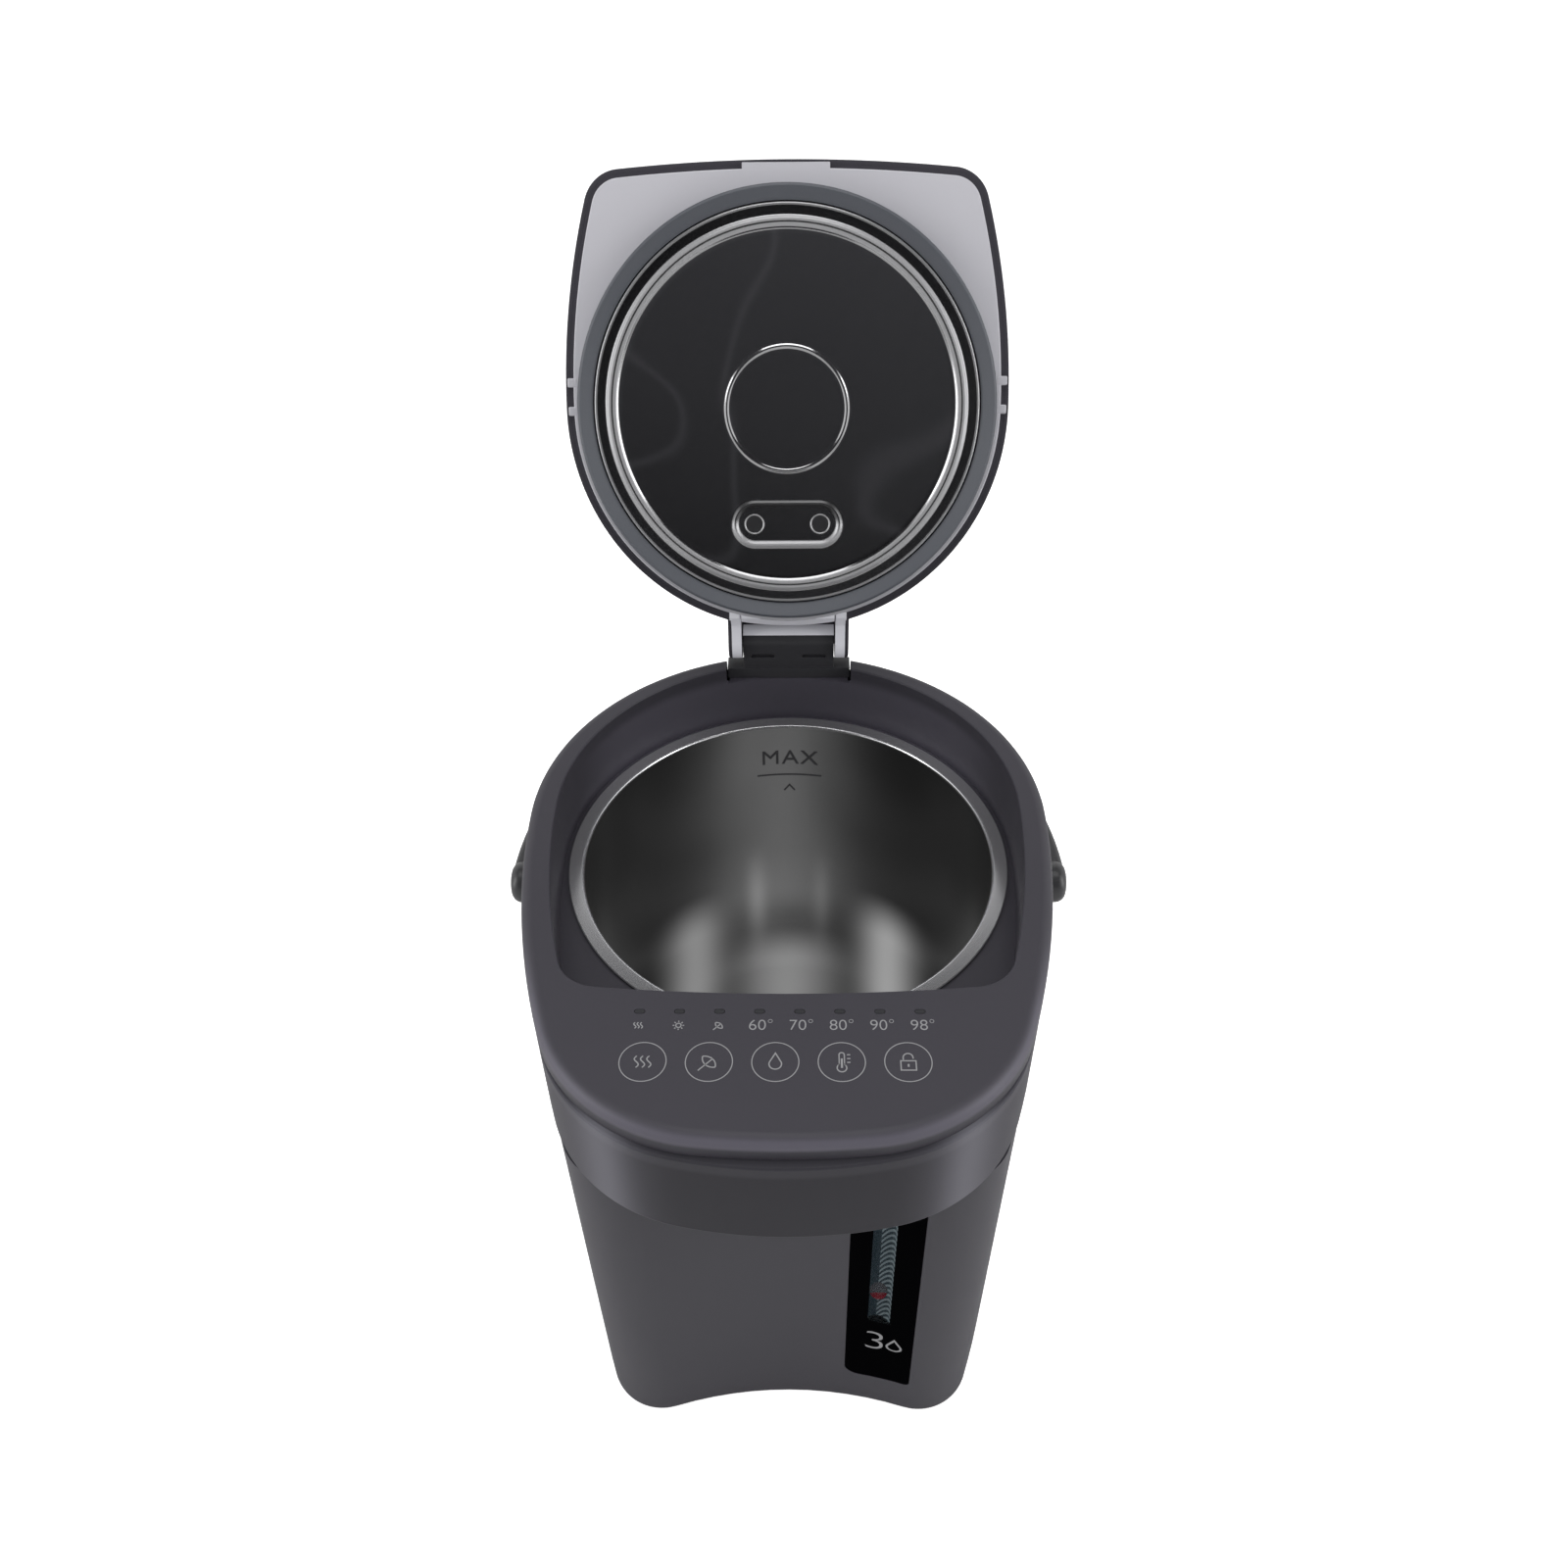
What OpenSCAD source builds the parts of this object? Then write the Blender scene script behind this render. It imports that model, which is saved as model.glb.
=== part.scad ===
// Electric thermo pot with a hinged lid, a touch panel, a level gauge and a carrying bail.
// Origin: centre of the inner pot, on the plane the pot stands on. +Z up, front towards -Y.

/* [Pose] */
// Opening angle of the lid that the model is drawn at
lid_angle = 116.4; // [100:0.1:116.4]

/* [Body] */
// Overall width at the deck
body_w = 216; // [211:1:223]
// How much narrower the base is than the deck
taper = 6; // [3:1:8]
// Height of the deck above the base
deck_z = 253; // [251:1:256]
// Distance of the centre of the back arc behind the pot axis
arc_y = -1.5; // [-2:0.5:0]
// Radius of the side arcs
side_r = 360; // [340:5:380]
// Distance from the pot axis to the hollow front face, in the middle
front_y = 135; // [133:1:137]
// Radius of the cup hollow in the front face
hollow_r = 181; // [165:1:200]
// Radius of the two front corners
corner_r = 24; // [22:1:26]
// Wall of the plastic casings
wall = 2.2; // [1.8:0.1:2.6]
// Width of the raised stretch in the shell's lower edge, under the hollow front
lift_w = 120; // [60:10:140]
// Gap left between casings that meet
seam = 0.2; // [0.15:0.05:0.3]
// Height of the line between shell and top cover
cover_z = 243; // [241:1:244]
// Height of the underside of the spout head
head_z = 198; // [192:1:202]
// Distance behind the front where the spout head ends on the sides
head_end_y = 105; // [104:1:108]

/* [Deck and spout head] */
// Distance from the pot axis to the front edge of the deck
deck_front = 164; // [162:0.5:166]
// Radius of the deck's front edge
deck_front_r = 297; // [270:1:320]
// Radius of the deck's front corners
deck_corner_r = 70; // [66:1:72]
// Distance from the pot axis to the front of the spout head
head_front = 167.3; // [167:0.1:170]
// Radius of the spout head's front
head_front_r = 183; // [178:1:190]
// Radius of the spout head's corners
head_corner_r = 67; // [64:1:68]
// Radius of the deck's rounded outer edge
deck_edge_r = 5; // [4:0.5:6]
// Distance from the pot axis to the spout
spout_y = 150; // [146:1:151]
// Radius of the spout's bore
spout_r = 4; // [3:0.5:5]
// Length of the spout below the head
spout_drop = 12; // [8:1:16]

/* [Inner pot] */
// Room between the inside of the steel pot and the side of the casing
pot_margin = 20; // [19:0.5:21.5]
// Sheet of the steel pot
pot_wall = 0.8; // [0.6:0.1:1]
// Inside depth of the pot
pot_depth = 157; // [150:1:160]
// Radius of the pot's bottom corner
pot_fillet = 20; // [14:1:26]
// Width of the rolled rim
rim_w = 5.8; // [5:0.1:6]
// Height of the rim above the base
rim_z = 222; // [221:1:223]
// Height of the full mark below the rim
full_mark_drop = 31; // [28:0.2:38]

/* [Lid] */
// Width of the deck beside the lid
lid_margin = 12.4; // [12:0.1:13]
// Radius of the lid's side arcs
lid_side_r = 317; // [310:1:330]
// Distance from the pot axis to the lid's front edge
lid_front = 99.4; // [99:0.1:100]
// Radius of the lid's front edge
lid_front_r = 750; // [700:10:800]
// Radius of the lid's front corners
lid_corner_r = 16; // [15:0.5:17]
// Gap round the closed lid
lid_gap = 1.2; // [1:0.1:1.4]
// Wall of the lid cover
lid_wall = 1.8; // [1.6:0.1:2.2]
// Height of the skirt's lower edge above the rim, lid closed
skirt_rise = 15; // [14:0.5:16]
// Height of the lid's dome above the deck
dome_rise = 4.8; // [4:0.2:5]
// Distance of the hinge pin inside the width of the body
hinge_inset = 3.5; // [3:0.1:4]
// Height of the hinge pin above the deck
hinge_rise = 9; // [8.5:0.1:10]
// Radius of the hinge pin
pin_r = 2.5; // [2:0.1:3]
// Radial clearance of a running fit
run_fit = 0.06; // [0.04:0.01:0.09]
// Half width of the lid's neck
neck_half = 28; // [27:0.5:28.5]
// Half width of the hinge block between the lid's arms
block_half = 21.2; // [20:0.2:21.4]
// Room between the pot wall and the edge of the steel lid plate
plate_margin = 6.4; // [6:0.2:8]
// Half width of the latch
latch_half = 20; // [18:0.5:21]
// Travel of the latch
latch_travel = 3; // [2.5:0.1:3.2]

/* [Handle] */
// Distance of the bail's bar, at its centre, beside the body
bail_margin = 8.2; // [7.5:0.1:10]
// How much longer the bail is than half its width
bail_stretch = 25.8; // [24:0.2:30]
// Width of the bail's bar
bail_w = 8.6; // [7.6:0.2:9]
// Thickness of the bail's bar
bail_t = 10; // [9:0.5:12]
// Distance of the pivots behind the pot axis
pivot_y = -3; // [-5:0.5:0]
// Height of the pivots below the rim
pivot_drop = 13; // [11:0.5:15]
// Radius of the bail's round ends
bail_end_r = 9; // [8:0.5:10]
// Radius of the pivot pins
pivot_r = 4; // [3.5:0.1:4.5]

/* [Level gauge] */
// Left edge of the gauge panel from the middle
gauge_x0 = 25; // [24:0.5:26]
// Right edge of the gauge panel from the middle
gauge_x1 = 54; // [53:0.5:54.5]
// Height of the gauge panel's lower edge
gauge_z0 = 26; // [22:1:30]
// Width of the clear slot
slot_w = 9.4; // [8.4:0.2:10]
// Middle of the clear slot
slot_x = 38.7; // [38:0.1:40]
// Height of the clear slot's lower end
slot_z0 = 78; // [74:1:80]
// Outer radius of the gauge tube
tube_r = 5.6; // [5:0.1:5.8]
// Inner radius of the gauge tube
tube_bore = 4.2; // [3.8:0.1:4.4]
// Height of the float at rest
float_z = 89; // [87:1:92]
// Travel of the float
float_travel = 92; // [80:1:94]

/* [Works] */
// Radius of the heating plate
heater_r = 62; // [56:1:64]
// Thickness of the heating plate
heater_t = 4; // [3:0.5:5]
// Room between the heat shield and the side of the casing
shield_margin = 14; // [13:0.5:15.5]
// Radius of the pump housing
pump_r = 23; // [21:1:24]
// Distance of the pump in front of the pot axis
pump_y = 45; // [42:1:48]
// Bore of the hoses
hose_bore = 3; // [2.5:0.5:3]
// Outer radius of the hoses
hose_r = 5; // [4.5:0.5:5]
// Thickness of the circuit boards
board_t = 1.6; // [1.2:0.2:2]
// Distance between neighbouring touch keys
key_pitch = 23.1; // [22:0.1:23.5]
// Radius of a touch key
key_r = 8.2; // [7.5:0.1:8.6]
// Distance of the row of keys in front of the pot axis
key_y = 131; // [129:1:132]
// Distance between neighbouring indicator lights
light_pitch = 14.4; // [13:0.1:14.6]
// Distance of the row of lights in front of the pot axis
light_y = 109; // [108:0.5:110]

/* [Hidden] */
$fn = 72;

slate = [0.28, 0.28, 0.30];
dark = [0.16, 0.16, 0.18];
steel = [0.75, 0.75, 0.76];
light_grey = [0.68, 0.68, 0.71];
seal_blue = [0.33, 0.37, 0.42];
copper = [0.72, 0.45, 0.25];

base_w = body_w - taper;
pot_r = body_w / 2 - pot_margin;
lid_r = body_w / 2 - lid_margin;
hinge_y = body_w / 2 - hinge_inset;
plate_r = pot_r - plate_margin;
bail_half = body_w / 2 + bail_margin;
bail_reach = bail_half + bail_stretch;
shield_r = body_w / 2 - shield_margin;
hinge_z = deck_z + hinge_rise;
pivot_z = rim_z - pivot_drop;
skirt_z = rim_z + skirt_rise;
base_lip = 2.2;
shell_z0 = base_lip + seam;
cup_z = rim_z - pot_depth;
rim_t = pot_wall;
gasket_t = 0.6;
recess_floor = rim_z - rim_t - gasket_t;
tub_wall = 2;
deck_t = 2.5;
deck_under = deck_z - deck_t;
knuckle_r = 9;
block_knuckle_r = 6.5;
plate_t = 0.8;
plate_z = rim_z + 1.8;
panel_z = skirt_z - 2.4;
panel_t = 2;
notch_half = neck_half + 1.3;
notch_z = cover_z + 1.4;
block_foot_z = notch_z + seam;
foot_h = 5.4;
shield_z = 46;
heater_z = cup_z - pot_wall - heater_t;
tube_y = front_y + (slot_x * slot_x) / (2 * hollow_r) - wall - tube_r - 2;
cord_hole_z = 30;
pot_outer = pot_r + pot_wall;
head_floor_z = head_z + wall;
spring_gap = 0.3;
board_z = deck_under - 8.4;
pump_z = 26;
tube_z0 = pump_z + 15.6;
pump_h = 14;
motor_r = 15;
motor_h = 17.5;
shaft_r = 1.5;

// ---------- outlines ----------

// Points along an arc
function arc(c, r, a0, a1, n) =
    [for (i = [0:n]) c + r * [cos(a0 + (a1 - a0) * i / n), sin(a0 + (a1 - a0) * i / n)]];
function tail(p) = [for (i = [1:len(p) - 1]) p[i]];
function angle_of(v) = atan2(v[1], v[0]);
// Crossing of two circles, on the chosen side of the line between their centres
function meet(p, rp, q, rq, side) =
    let (d = norm(q - p), a = (rp * rp - rq * rq + d * d) / (2 * d), h = sqrt(rp * rp - a * a),
         u = (q - p) / d)
    p + a * u + side * h * [u[1], -u[0]];
// Right half of an outline, from the middle of the back round to the middle of the front
function whole(half) =
    concat([for (i = [len(half) - 1:-1:0]) half[i]],
           [for (i = [1:len(half) - 2]) [-half[i][0], half[i][1]]]);
// Convex outline: round back, bowed sides, rounded corners and a bowed front, shrunk by d
function bowed(w, yc, sr, cr, fy, fr, d) =
    let (s = [w - sr, yc], f = [0, fr - fy], c = meet(s, sr - cr, f, fr - cr, 1),
         a_side = angle_of(c - s), a_front = angle_of(c - f))
    whole(concat(arc([0, yc], w - d, 90, 0, 16), tail(arc(s, sr - d, 0, a_side, 5)),
                 tail(arc(c, cr - d, a_side, a_front, 8)), tail(arc(f, fr - d, a_front, -90, 4))));
// Body outline with the hollow front, half width w, shrunk by d
function body_ring(w, d) =
    let (s = [w - side_r, arc_y], k = [0, -(front_y + hollow_r)],
         c = meet(s, side_r - corner_r, k, hollow_r + corner_r, -1),
         a_side = angle_of(c - s), a_turn = angle_of(k - c))
    whole(concat(arc([0, arc_y], w - d, 90, 0, 16), tail(arc(s, side_r - d, 0, a_side, 5)),
                 tail(arc(c, corner_r - d, a_side, a_turn, 8)),
                 tail(arc(k, hollow_r + d, angle_of(c - k), 90, 6))));
function deck_ring(d) =
    bowed(body_w / 2, arc_y, side_r, deck_corner_r, deck_front, deck_front_r, d);
function head_ring(d) =
    bowed(body_w / 2, arc_y, side_r, head_corner_r, head_front, head_front_r, d);
function lid_ring(d) = bowed(lid_r, 0, lid_side_r, lid_corner_r, lid_front, lid_front_r, d);
function half_width(z) = (base_w + (body_w - base_w) * z / deck_z) / 2;

// Solid skinned over rings of equal length at rising heights
module loft(rings, heights) {
    n = len(rings[0]);
    m = len(rings);
    points = [for (j = [0:m - 1]) for (p = rings[j]) [p[0], p[1], heights[j]]];
    sides = [for (j = [0:m - 2]) for (i = [0:n - 1])
        [j * n + i, (j + 1) * n + i, (j + 1) * n + (i + 1) % n, j * n + (i + 1) % n]];
    polyhedron(points = points,
               faces = concat(sides, [[for (i = [0:n - 1]) i]], [[for (i = [n - 1:-1:0]) (m - 1) * n + i]]),
               convexity = 8);
}
// Flat slab over an outline
module slab(ring, z0, z1) {
    translate([0, 0, z0]) linear_extrude(z1 - z0) polygon(ring);
}
// Plate standing across X, drawn in the Y-Z plane
module across(x0, x1) {
    translate([x0, 0, 0]) rotate([90, 0, 90]) linear_extrude(x1 - x0) children();
}
// Cylinder along X
module rod_x(x0, x1, y, z, r) {
    translate([x0, y, z]) rotate([0, 90, 0]) cylinder(h = x1 - x0, r = r);
}
module tube(h, r, bore) {
    difference() {
        cylinder(h = h, r = r);
        translate([0, 0, -1]) cylinder(h = h + 2, r = bore);
    }
}
module stadium(l, w) {
    union() {
        square([l - w, w], center = true);
        translate([(l - w) / 2, 0]) circle(d = w);
        translate([-(l - w) / 2, 0]) circle(d = w);
    }
}
// Places a piece drawn on the closed lid at the drawn opening angle
module on_lid() {
    translate([0, hinge_y, hinge_z]) rotate([-lid_angle, 0, 0]) translate([0, -hinge_y, -hinge_z])
        children();
}
// ---------- casing ----------

module gauge_outline(inset) {
    w = gauge_x1 - gauge_x0;
    translate([gauge_x0, gauge_z0]) polygon(concat(
        arc([7, 7], 7 - inset, 270, 180, 5), [[inset, 200]], [[w - inset, 200]],
        arc([w - 2.5, 2.5], 2.5 - inset, 360, 270, 3)));
}
module gauge_cut(inset, z_top) {
    intersection() {
        translate([0, -front_y + 25, 0]) rotate([90, 0, 0]) linear_extrude(60) gauge_outline(inset);
        translate([0, -front_y - 40, 0]) cube([100, 80, z_top]);
    }
}
gauge_t = 1.4;
gauge_ledge = 2;

module outer_shell() {
    edge = 1.2;
    color(slate) difference() {
        loft([body_ring(half_width(0), edge), body_ring(half_width(0), edge * 0.3),
              body_ring(half_width(0), 0), body_ring(half_width(cover_z), 0)],
             [shell_z0, shell_z0 + edge * 0.3, shell_z0 + edge, cover_z]);
        loft([body_ring(half_width(0), wall), body_ring(half_width(0), wall),
              body_ring(half_width(cover_z), wall), body_ring(half_width(cover_z), wall)],
             [-1, shell_z0, cover_z, cover_z + 1]);
        translate([-body_w, -2 * body_w - head_end_y + seam, head_z - seam])
            cube([2 * body_w, 2 * body_w, deck_z]);
        // pocket and opening for the gauge panel
        difference() {
            gauge_cut(0, head_z + 1);
            loft([body_ring(half_width(0), gauge_t + seam), body_ring(half_width(cover_z), gauge_t + seam)],
                 [-1, cover_z + 1]);
        }
        gauge_cut(gauge_ledge, head_z + 1);
        // raised stretch of the lower edge
        translate([-lift_w / 2, -2 * front_y, 0]) cube([lift_w, front_y + 75, shell_z0 + 0.6]);
        // pivot holes
        rod_x(-body_w, body_w, pivot_y, pivot_z, pivot_r + 2 + seam);
        // opening for the power inlet
        translate([-inlet_w / 2, inlet_back - 22, cord_hole_z - inlet_h / 2]) cube([inlet_w, 40, inlet_h]);
    }
}

module top_cover() {
    e = deck_edge_r;
    recess_z = recess_floor - tub_wall;
    color(slate) difference() {
        union() {
            difference() {
                loft([deck_ring(0), deck_ring(0), deck_ring(e * 0.08), deck_ring(e * 0.3),
                      deck_ring(e * 0.62), deck_ring(e)],
                     [cover_z + seam, deck_z - e, deck_z - e * 0.62, deck_z - e * 0.3,
                      deck_z - e * 0.08, deck_z]);
                loft([deck_ring(wall), deck_ring(wall), deck_ring(wall + 2)],
                     [cover_z - 1, deck_z - e, deck_under]);
            }
            slab(lid_ring(-lid_gap - tub_wall), recess_z, deck_under + 0.5);
            // seat of the hinge block
            intersection() {
                translate([-neck_half, lid_r - 5.6, notch_z - 3.2]) cube([2 * neck_half, 30, 3.2]);
                slab(body_ring(half_width(cover_z), wall + 0.4), 0, deck_z);
            }
        }
        slab(lid_ring(-lid_gap), recess_floor, deck_z + 1);
        translate([0, 0, recess_z - 1]) cylinder(h = 10, r = pot_outer + 0.8);
        // notch for the lid's neck
        translate([-notch_half, lid_r - 15.6, notch_z]) cube([2 * notch_half, 60, 40]);
        // pocket for the latch
        translate([-latch_half - 1, -lid_front - lid_gap - tub_wall - 0.5, skirt_z - 2])
            cube([2 * latch_half + 2, tub_wall + 4, 9]);
        for (i = [0:7]) translate([light_x(i), -light_y, deck_under - 1]) linear_extrude(10)
            stadium(light_l + 2 * seam, light_w + 2 * seam);
        for (s = [-1, 1]) translate([s * 12, hinge_screw_y, notch_z - 5]) cylinder(h = 9, r = 1.12);
    }
}
light_l = 3.6;
light_w = 1.7;
function light_x(i) = (i - 3.5) * light_pitch - 2;
function key_x(i) = (i - 2) * key_pitch - 3.3;

module spout_head() {
    e = 2;
    ledge = 7;
    color(slate) difference() {
        loft([head_ring(e), head_ring(e * 0.3), head_ring(0), head_ring(0), head_ring(1)],
             [head_z, head_z + e * 0.3, head_z + e, cover_z - 1, cover_z]);
        loft([head_ring(wall), head_ring(wall)], [head_floor_z, cover_z - wall]);
        loft([head_ring(ledge), head_ring(ledge)], [head_floor_z, deck_z]);
        translate([-body_w, -head_end_y, 0]) cube([2 * body_w, 3 * body_w, 2 * deck_z]);
        translate([0, -spout_y, head_z - 5]) cylinder(h = 20, r = spout_r + 3 + seam);
        translate([slot_x, -tube_y, head_z - 5]) cylinder(h = 20, r = tube_r + 0.6);
        translate([-36, -head_end_y - 9, head_z - 5]) cube([14, 10, 20]);
    }
}

module spout_nozzle() {
    color(dark) translate([0, -spout_y, head_z - spout_drop]) difference() {
        union() {
            cylinder(h = spout_drop - seam, r1 = spout_r + 2.4, r2 = spout_r + 5.2);
            cylinder(h = spout_drop + 10, r = spout_r + 2.6);
            translate([0, 0, spout_drop + wall + 2]) cylinder(h = 2, r = spout_r + 5.5);
        }
        translate([0, 0, -1]) cylinder(h = spout_drop + 30, r = spout_r);
    }
}
module nozzle_seal() {
    color(seal_blue) translate([0, -spout_y, head_floor_z]) tube(2, spout_r + 5.5, spout_r + 2.7);
}

module bottom_cover() {
    post_r = 5;
    color(dark) difference() {
        union() {
            slab(body_ring(half_width(0), 1.4), 0, base_lip);
            difference() {
                slab(body_ring(half_width(0), wall + 0.5), base_lip - 0.5, 10);
                slab(body_ring(half_width(0), wall + 2.5), base_lip + 0.6, 20);
            }
            for (p = posts) translate([p[0], p[1], 1]) cylinder(h = shield_z - 1, r = post_r);
            for (p = board_posts) translate([p[0], p[1], 1]) cylinder(h = power_board_z - 1, r = 3);
            translate([0, -pump_y, 1]) cylinder(h = pump_z - motor_h - 1, r = motor_r - 3);
        }
        for (p = pads) translate([p[0], p[1], -1]) cylinder(h = 1 + pad_t, r = pad_r + 0.1);
        for (p = posts) {
            translate([p[0], p[1], -1]) cylinder(h = shield_z - 8, r = 3.4);
            translate([p[0], p[1], -1]) cylinder(h = shield_z + 5, r = 1.8);
        }
        // clearance round the power inlet
        translate([-inlet_w / 2 - 1, body_w / 2 - 12, base_lip + 0.6]) cube([inlet_w + 2, 30, 30]);
    }
}
posts = [[70, 40], [-70, 40], [68, -48], [-68, -48]];
pads = [[72, 14], [-72, 14], [66, -84], [-66, -84]];
pad_r = 8;
pad_t = 1.2;
power_board_z = 14;
board_c = [-26, 38];
board_size = [66, 52];
board_posts = [for (sx = [-1, 1], sy = [-1, 1])
    board_c + [sx * (board_size[0] / 2 - 4), sy * (board_size[1] / 2 - 4)]];

module base_pads() {
    color([0.1, 0.1, 0.1]) for (p = pads) translate([p[0], p[1], 0]) cylinder(h = pad_t, r = pad_r);
}
module base_screws() {
    head_top = shield_z - 9;
    color(steel) for (p = posts) translate([p[0], p[1], head_top - 2.4]) {
        cylinder(h = 2.4, r = 3);
        cylinder(h = shield_z - head_top + 2.4 + 5, r = 1.7);
    }
}

// ---------- pot and heating ----------

module pot_profile(r, bottom_z, top_z, fillet) {
    polygon(concat([[0, bottom_z]], arc([r - fillet, bottom_z + fillet], fillet, -90, 0, 10),
                   [[r, top_z], [0, top_z]]));
}
module inner_pot() {
    color(steel) difference() {
        union() {
            rotate_extrude() pot_profile(pot_outer, cup_z - pot_wall, rim_z - rim_t / 2,
                                         pot_fillet + pot_wall);
            translate([0, 0, rim_z - rim_t]) cylinder(h = rim_t, r = pot_r + rim_w + 0.8);
            translate([0, -pump_y, outlet_z]) cylinder(h = cup_z - outlet_z, r = hose_bore + 1);
        }
        rotate_extrude() pot_profile(pot_r, cup_z, rim_z + 5, pot_fillet);
        translate([0, -pump_y, outlet_z - 1]) cylinder(h = 40, r = hose_bore);
        // full mark rolled into the back wall
        intersection() {
            translate([0, 0, rim_z - full_mark_drop - 0.4]) tube(0.8, pot_r + 0.2, pot_r - 1);
            translate([-16, 0, rim_z - full_mark_drop - 1]) cube([32, pot_outer, 2]);
        }
    }
}
outlet_z = 50;

module pot_gasket() {
    color(seal_blue) translate([0, 0, recess_floor]) tube(gasket_t, pot_r + rim_w, pot_outer + 0.8);
}
module heat_shield() {
    sheet = 0.6;
    top_z = recess_floor - tub_wall - 4;
    color(steel) difference() {
        union() {
            translate([0, 0, shield_z]) tube(top_z - shield_z, shield_r, shield_r - sheet);
            translate([0, 0, shield_z]) cylinder(h = 1, r = shield_r);
        }
        translate([0, -pump_y, shield_z - 1]) cylinder(h = 10, r = hose_r + 2.4);
        for (p = posts) translate([p[0], p[1], shield_z - 1]) cylinder(h = 10, r = 1.72);
        translate([-36, 20, shield_z - 1]) cylinder(h = 10, r = 5);
    }
}
module heating_plate() {
    color([0.6, 0.6, 0.62]) translate([0, 0, heater_z]) difference() {
        union() {
            cylinder(h = heater_t - 0.02, r = heater_r);
            translate([0, 0, -4]) tube(4.1, heater_r - 6, heater_r - 13);
            for (s = [-1, 1]) translate([s * 24 - 3, heater_r - 14, -6]) cube([6, 0.8, 3]);
        }
        translate([0, -pump_y, -20]) cylinder(h = 50, r = hose_bore + 2.8);
        translate([0, 0, -20]) cylinder(h = 50, r = 9);
    }
}
module warming_band() {
    color(copper) translate([0, 0, cup_z + 34]) difference() {
        tube(22, pot_outer + 1.4, pot_outer + 0.05);
        translate([0, -shield_r, 11]) cube([6, 20, 40], center = true);
    }
}
// Snap thermostat under the middle of the pot, with its two tabs
module thermostat() {
    color(dark) translate([0, 0, cup_z - pot_wall - 9]) {
        cylinder(h = 6, r = 7);
        cylinder(h = 8.98, r = 8.4);
        for (s = [-1, 1]) translate([s * 5 - 1.5, -0.4, -3]) cube([3, 0.8, 4]);
    }
}
module thermal_fuse() {
    color([0.85, 0.85, 0.8]) rod_x(20, 38, 24, heater_z - 2.02, 2);
}
module temperature_sensor() {
    color(dark) translate([30, -22, heater_z - 6]) {
        cylinder(h = 5.98, r = 3.5);
        translate([0, 0, -2]) cylinder(h = 3, r = 2);
    }
}

// ---------- pump and water way ----------

module outlet_hose() {
    color([0.85, 0.85, 0.82]) translate([0, -pump_y, pump_z + pump_h - 0.5])
        tube(outlet_z + 8 - (pump_z + pump_h - 0.5), hose_bore + 2.2, hose_bore + 1.05);
}
module pump_housing() {
    color([0.9, 0.9, 0.88]) translate([0, -pump_y, pump_z]) difference() {
        union() {
            cylinder(h = pump_h - 4, r = pump_r);
            cylinder(h = pump_h + 6, r = hose_bore + 1);
            rotate([0, 90, riser_heading]) translate([-5, 0, pump_r - 6]) cylinder(h = 16, r = hose_bore + 1);
            translate([0, 0, pump_h - 4.5]) cylinder(h = 3.5, r = hose_bore + 4);
        }
        translate([0, 0, 2]) cylinder(h = pump_h - 8, r = pump_r - 2);
        translate([0, 0, -1]) cylinder(h = 5, r = shaft_r + run_fit);
        translate([0, 0, 3]) cylinder(h = pump_h + 10, r = hose_bore - 0.4);
        rotate([0, 90, riser_heading]) translate([-5, 0, pump_r - 8]) cylinder(h = 30, r = hose_bore - 0.4);
    }
}
module pump_impeller() {
    vane_h = pump_h - 8 - 2.4;
    color([0.2, 0.2, 0.22]) translate([0, -pump_y, pump_z]) {
        translate([0, 0, -10]) cylinder(h = 13.6, r = shaft_r);
        translate([0, 0, 2.6]) cylinder(h = 1, r = pump_r - 4);
        for (i = [0:5]) rotate(60 * i) translate([4, -0.6, 3.4]) cube([pump_r - 9, 1.2, vane_h - 1]);
    }
}
module pump_motor() {
    color(steel) translate([0, -pump_y, pump_z - motor_h]) difference() {
        cylinder(h = motor_h, r = motor_r);
        translate([0, 0, motor_h - 10.4]) cylinder(h = 12, r = shaft_r + run_fit);
    }
}
riser_heading = atan2(pump_y - tube_y, slot_x);
// Hose with a moulded elbow, from the pump's side spout up to the foot of the gauge tube
module riser_hose() {
    z = pump_z + 5;
    start = pump_r + 1.5;
    far = norm([slot_x, pump_y - tube_y]);
    color([0.85, 0.85, 0.82]) difference() {
        union() {
            translate([0, -pump_y, z]) rotate([0, 90, riser_heading]) translate([0, 0, start]) {
                cylinder(h = 10, r = hose_r + 1);
                cylinder(h = far - start, r = hose_r);
            }
            translate([slot_x, -tube_y, z]) sphere(r = hose_r + 1.2);
            translate([slot_x, -tube_y, z]) cylinder(h = tube_z0 - z, r = hose_r);
            translate([slot_x, -tube_y, tube_z0 - 1.5]) cylinder(h = 8, r = tube_r + 1.4);
        }
        translate([0, -pump_y, z]) rotate([0, 90, riser_heading]) translate([0, 0, start - 1]) {
            cylinder(h = 9.6, r = hose_bore + 1.05);
            cylinder(h = far - start + 1 + hose_bore * 0.6, r = hose_bore);
        }
        translate([slot_x, -tube_y, z - hose_bore * 0.5]) cylinder(h = 40, r = hose_bore - 0.2);
        translate([slot_x, -tube_y, tube_z0]) cylinder(h = 20, r = tube_r + 0.05);
    }
}
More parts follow.
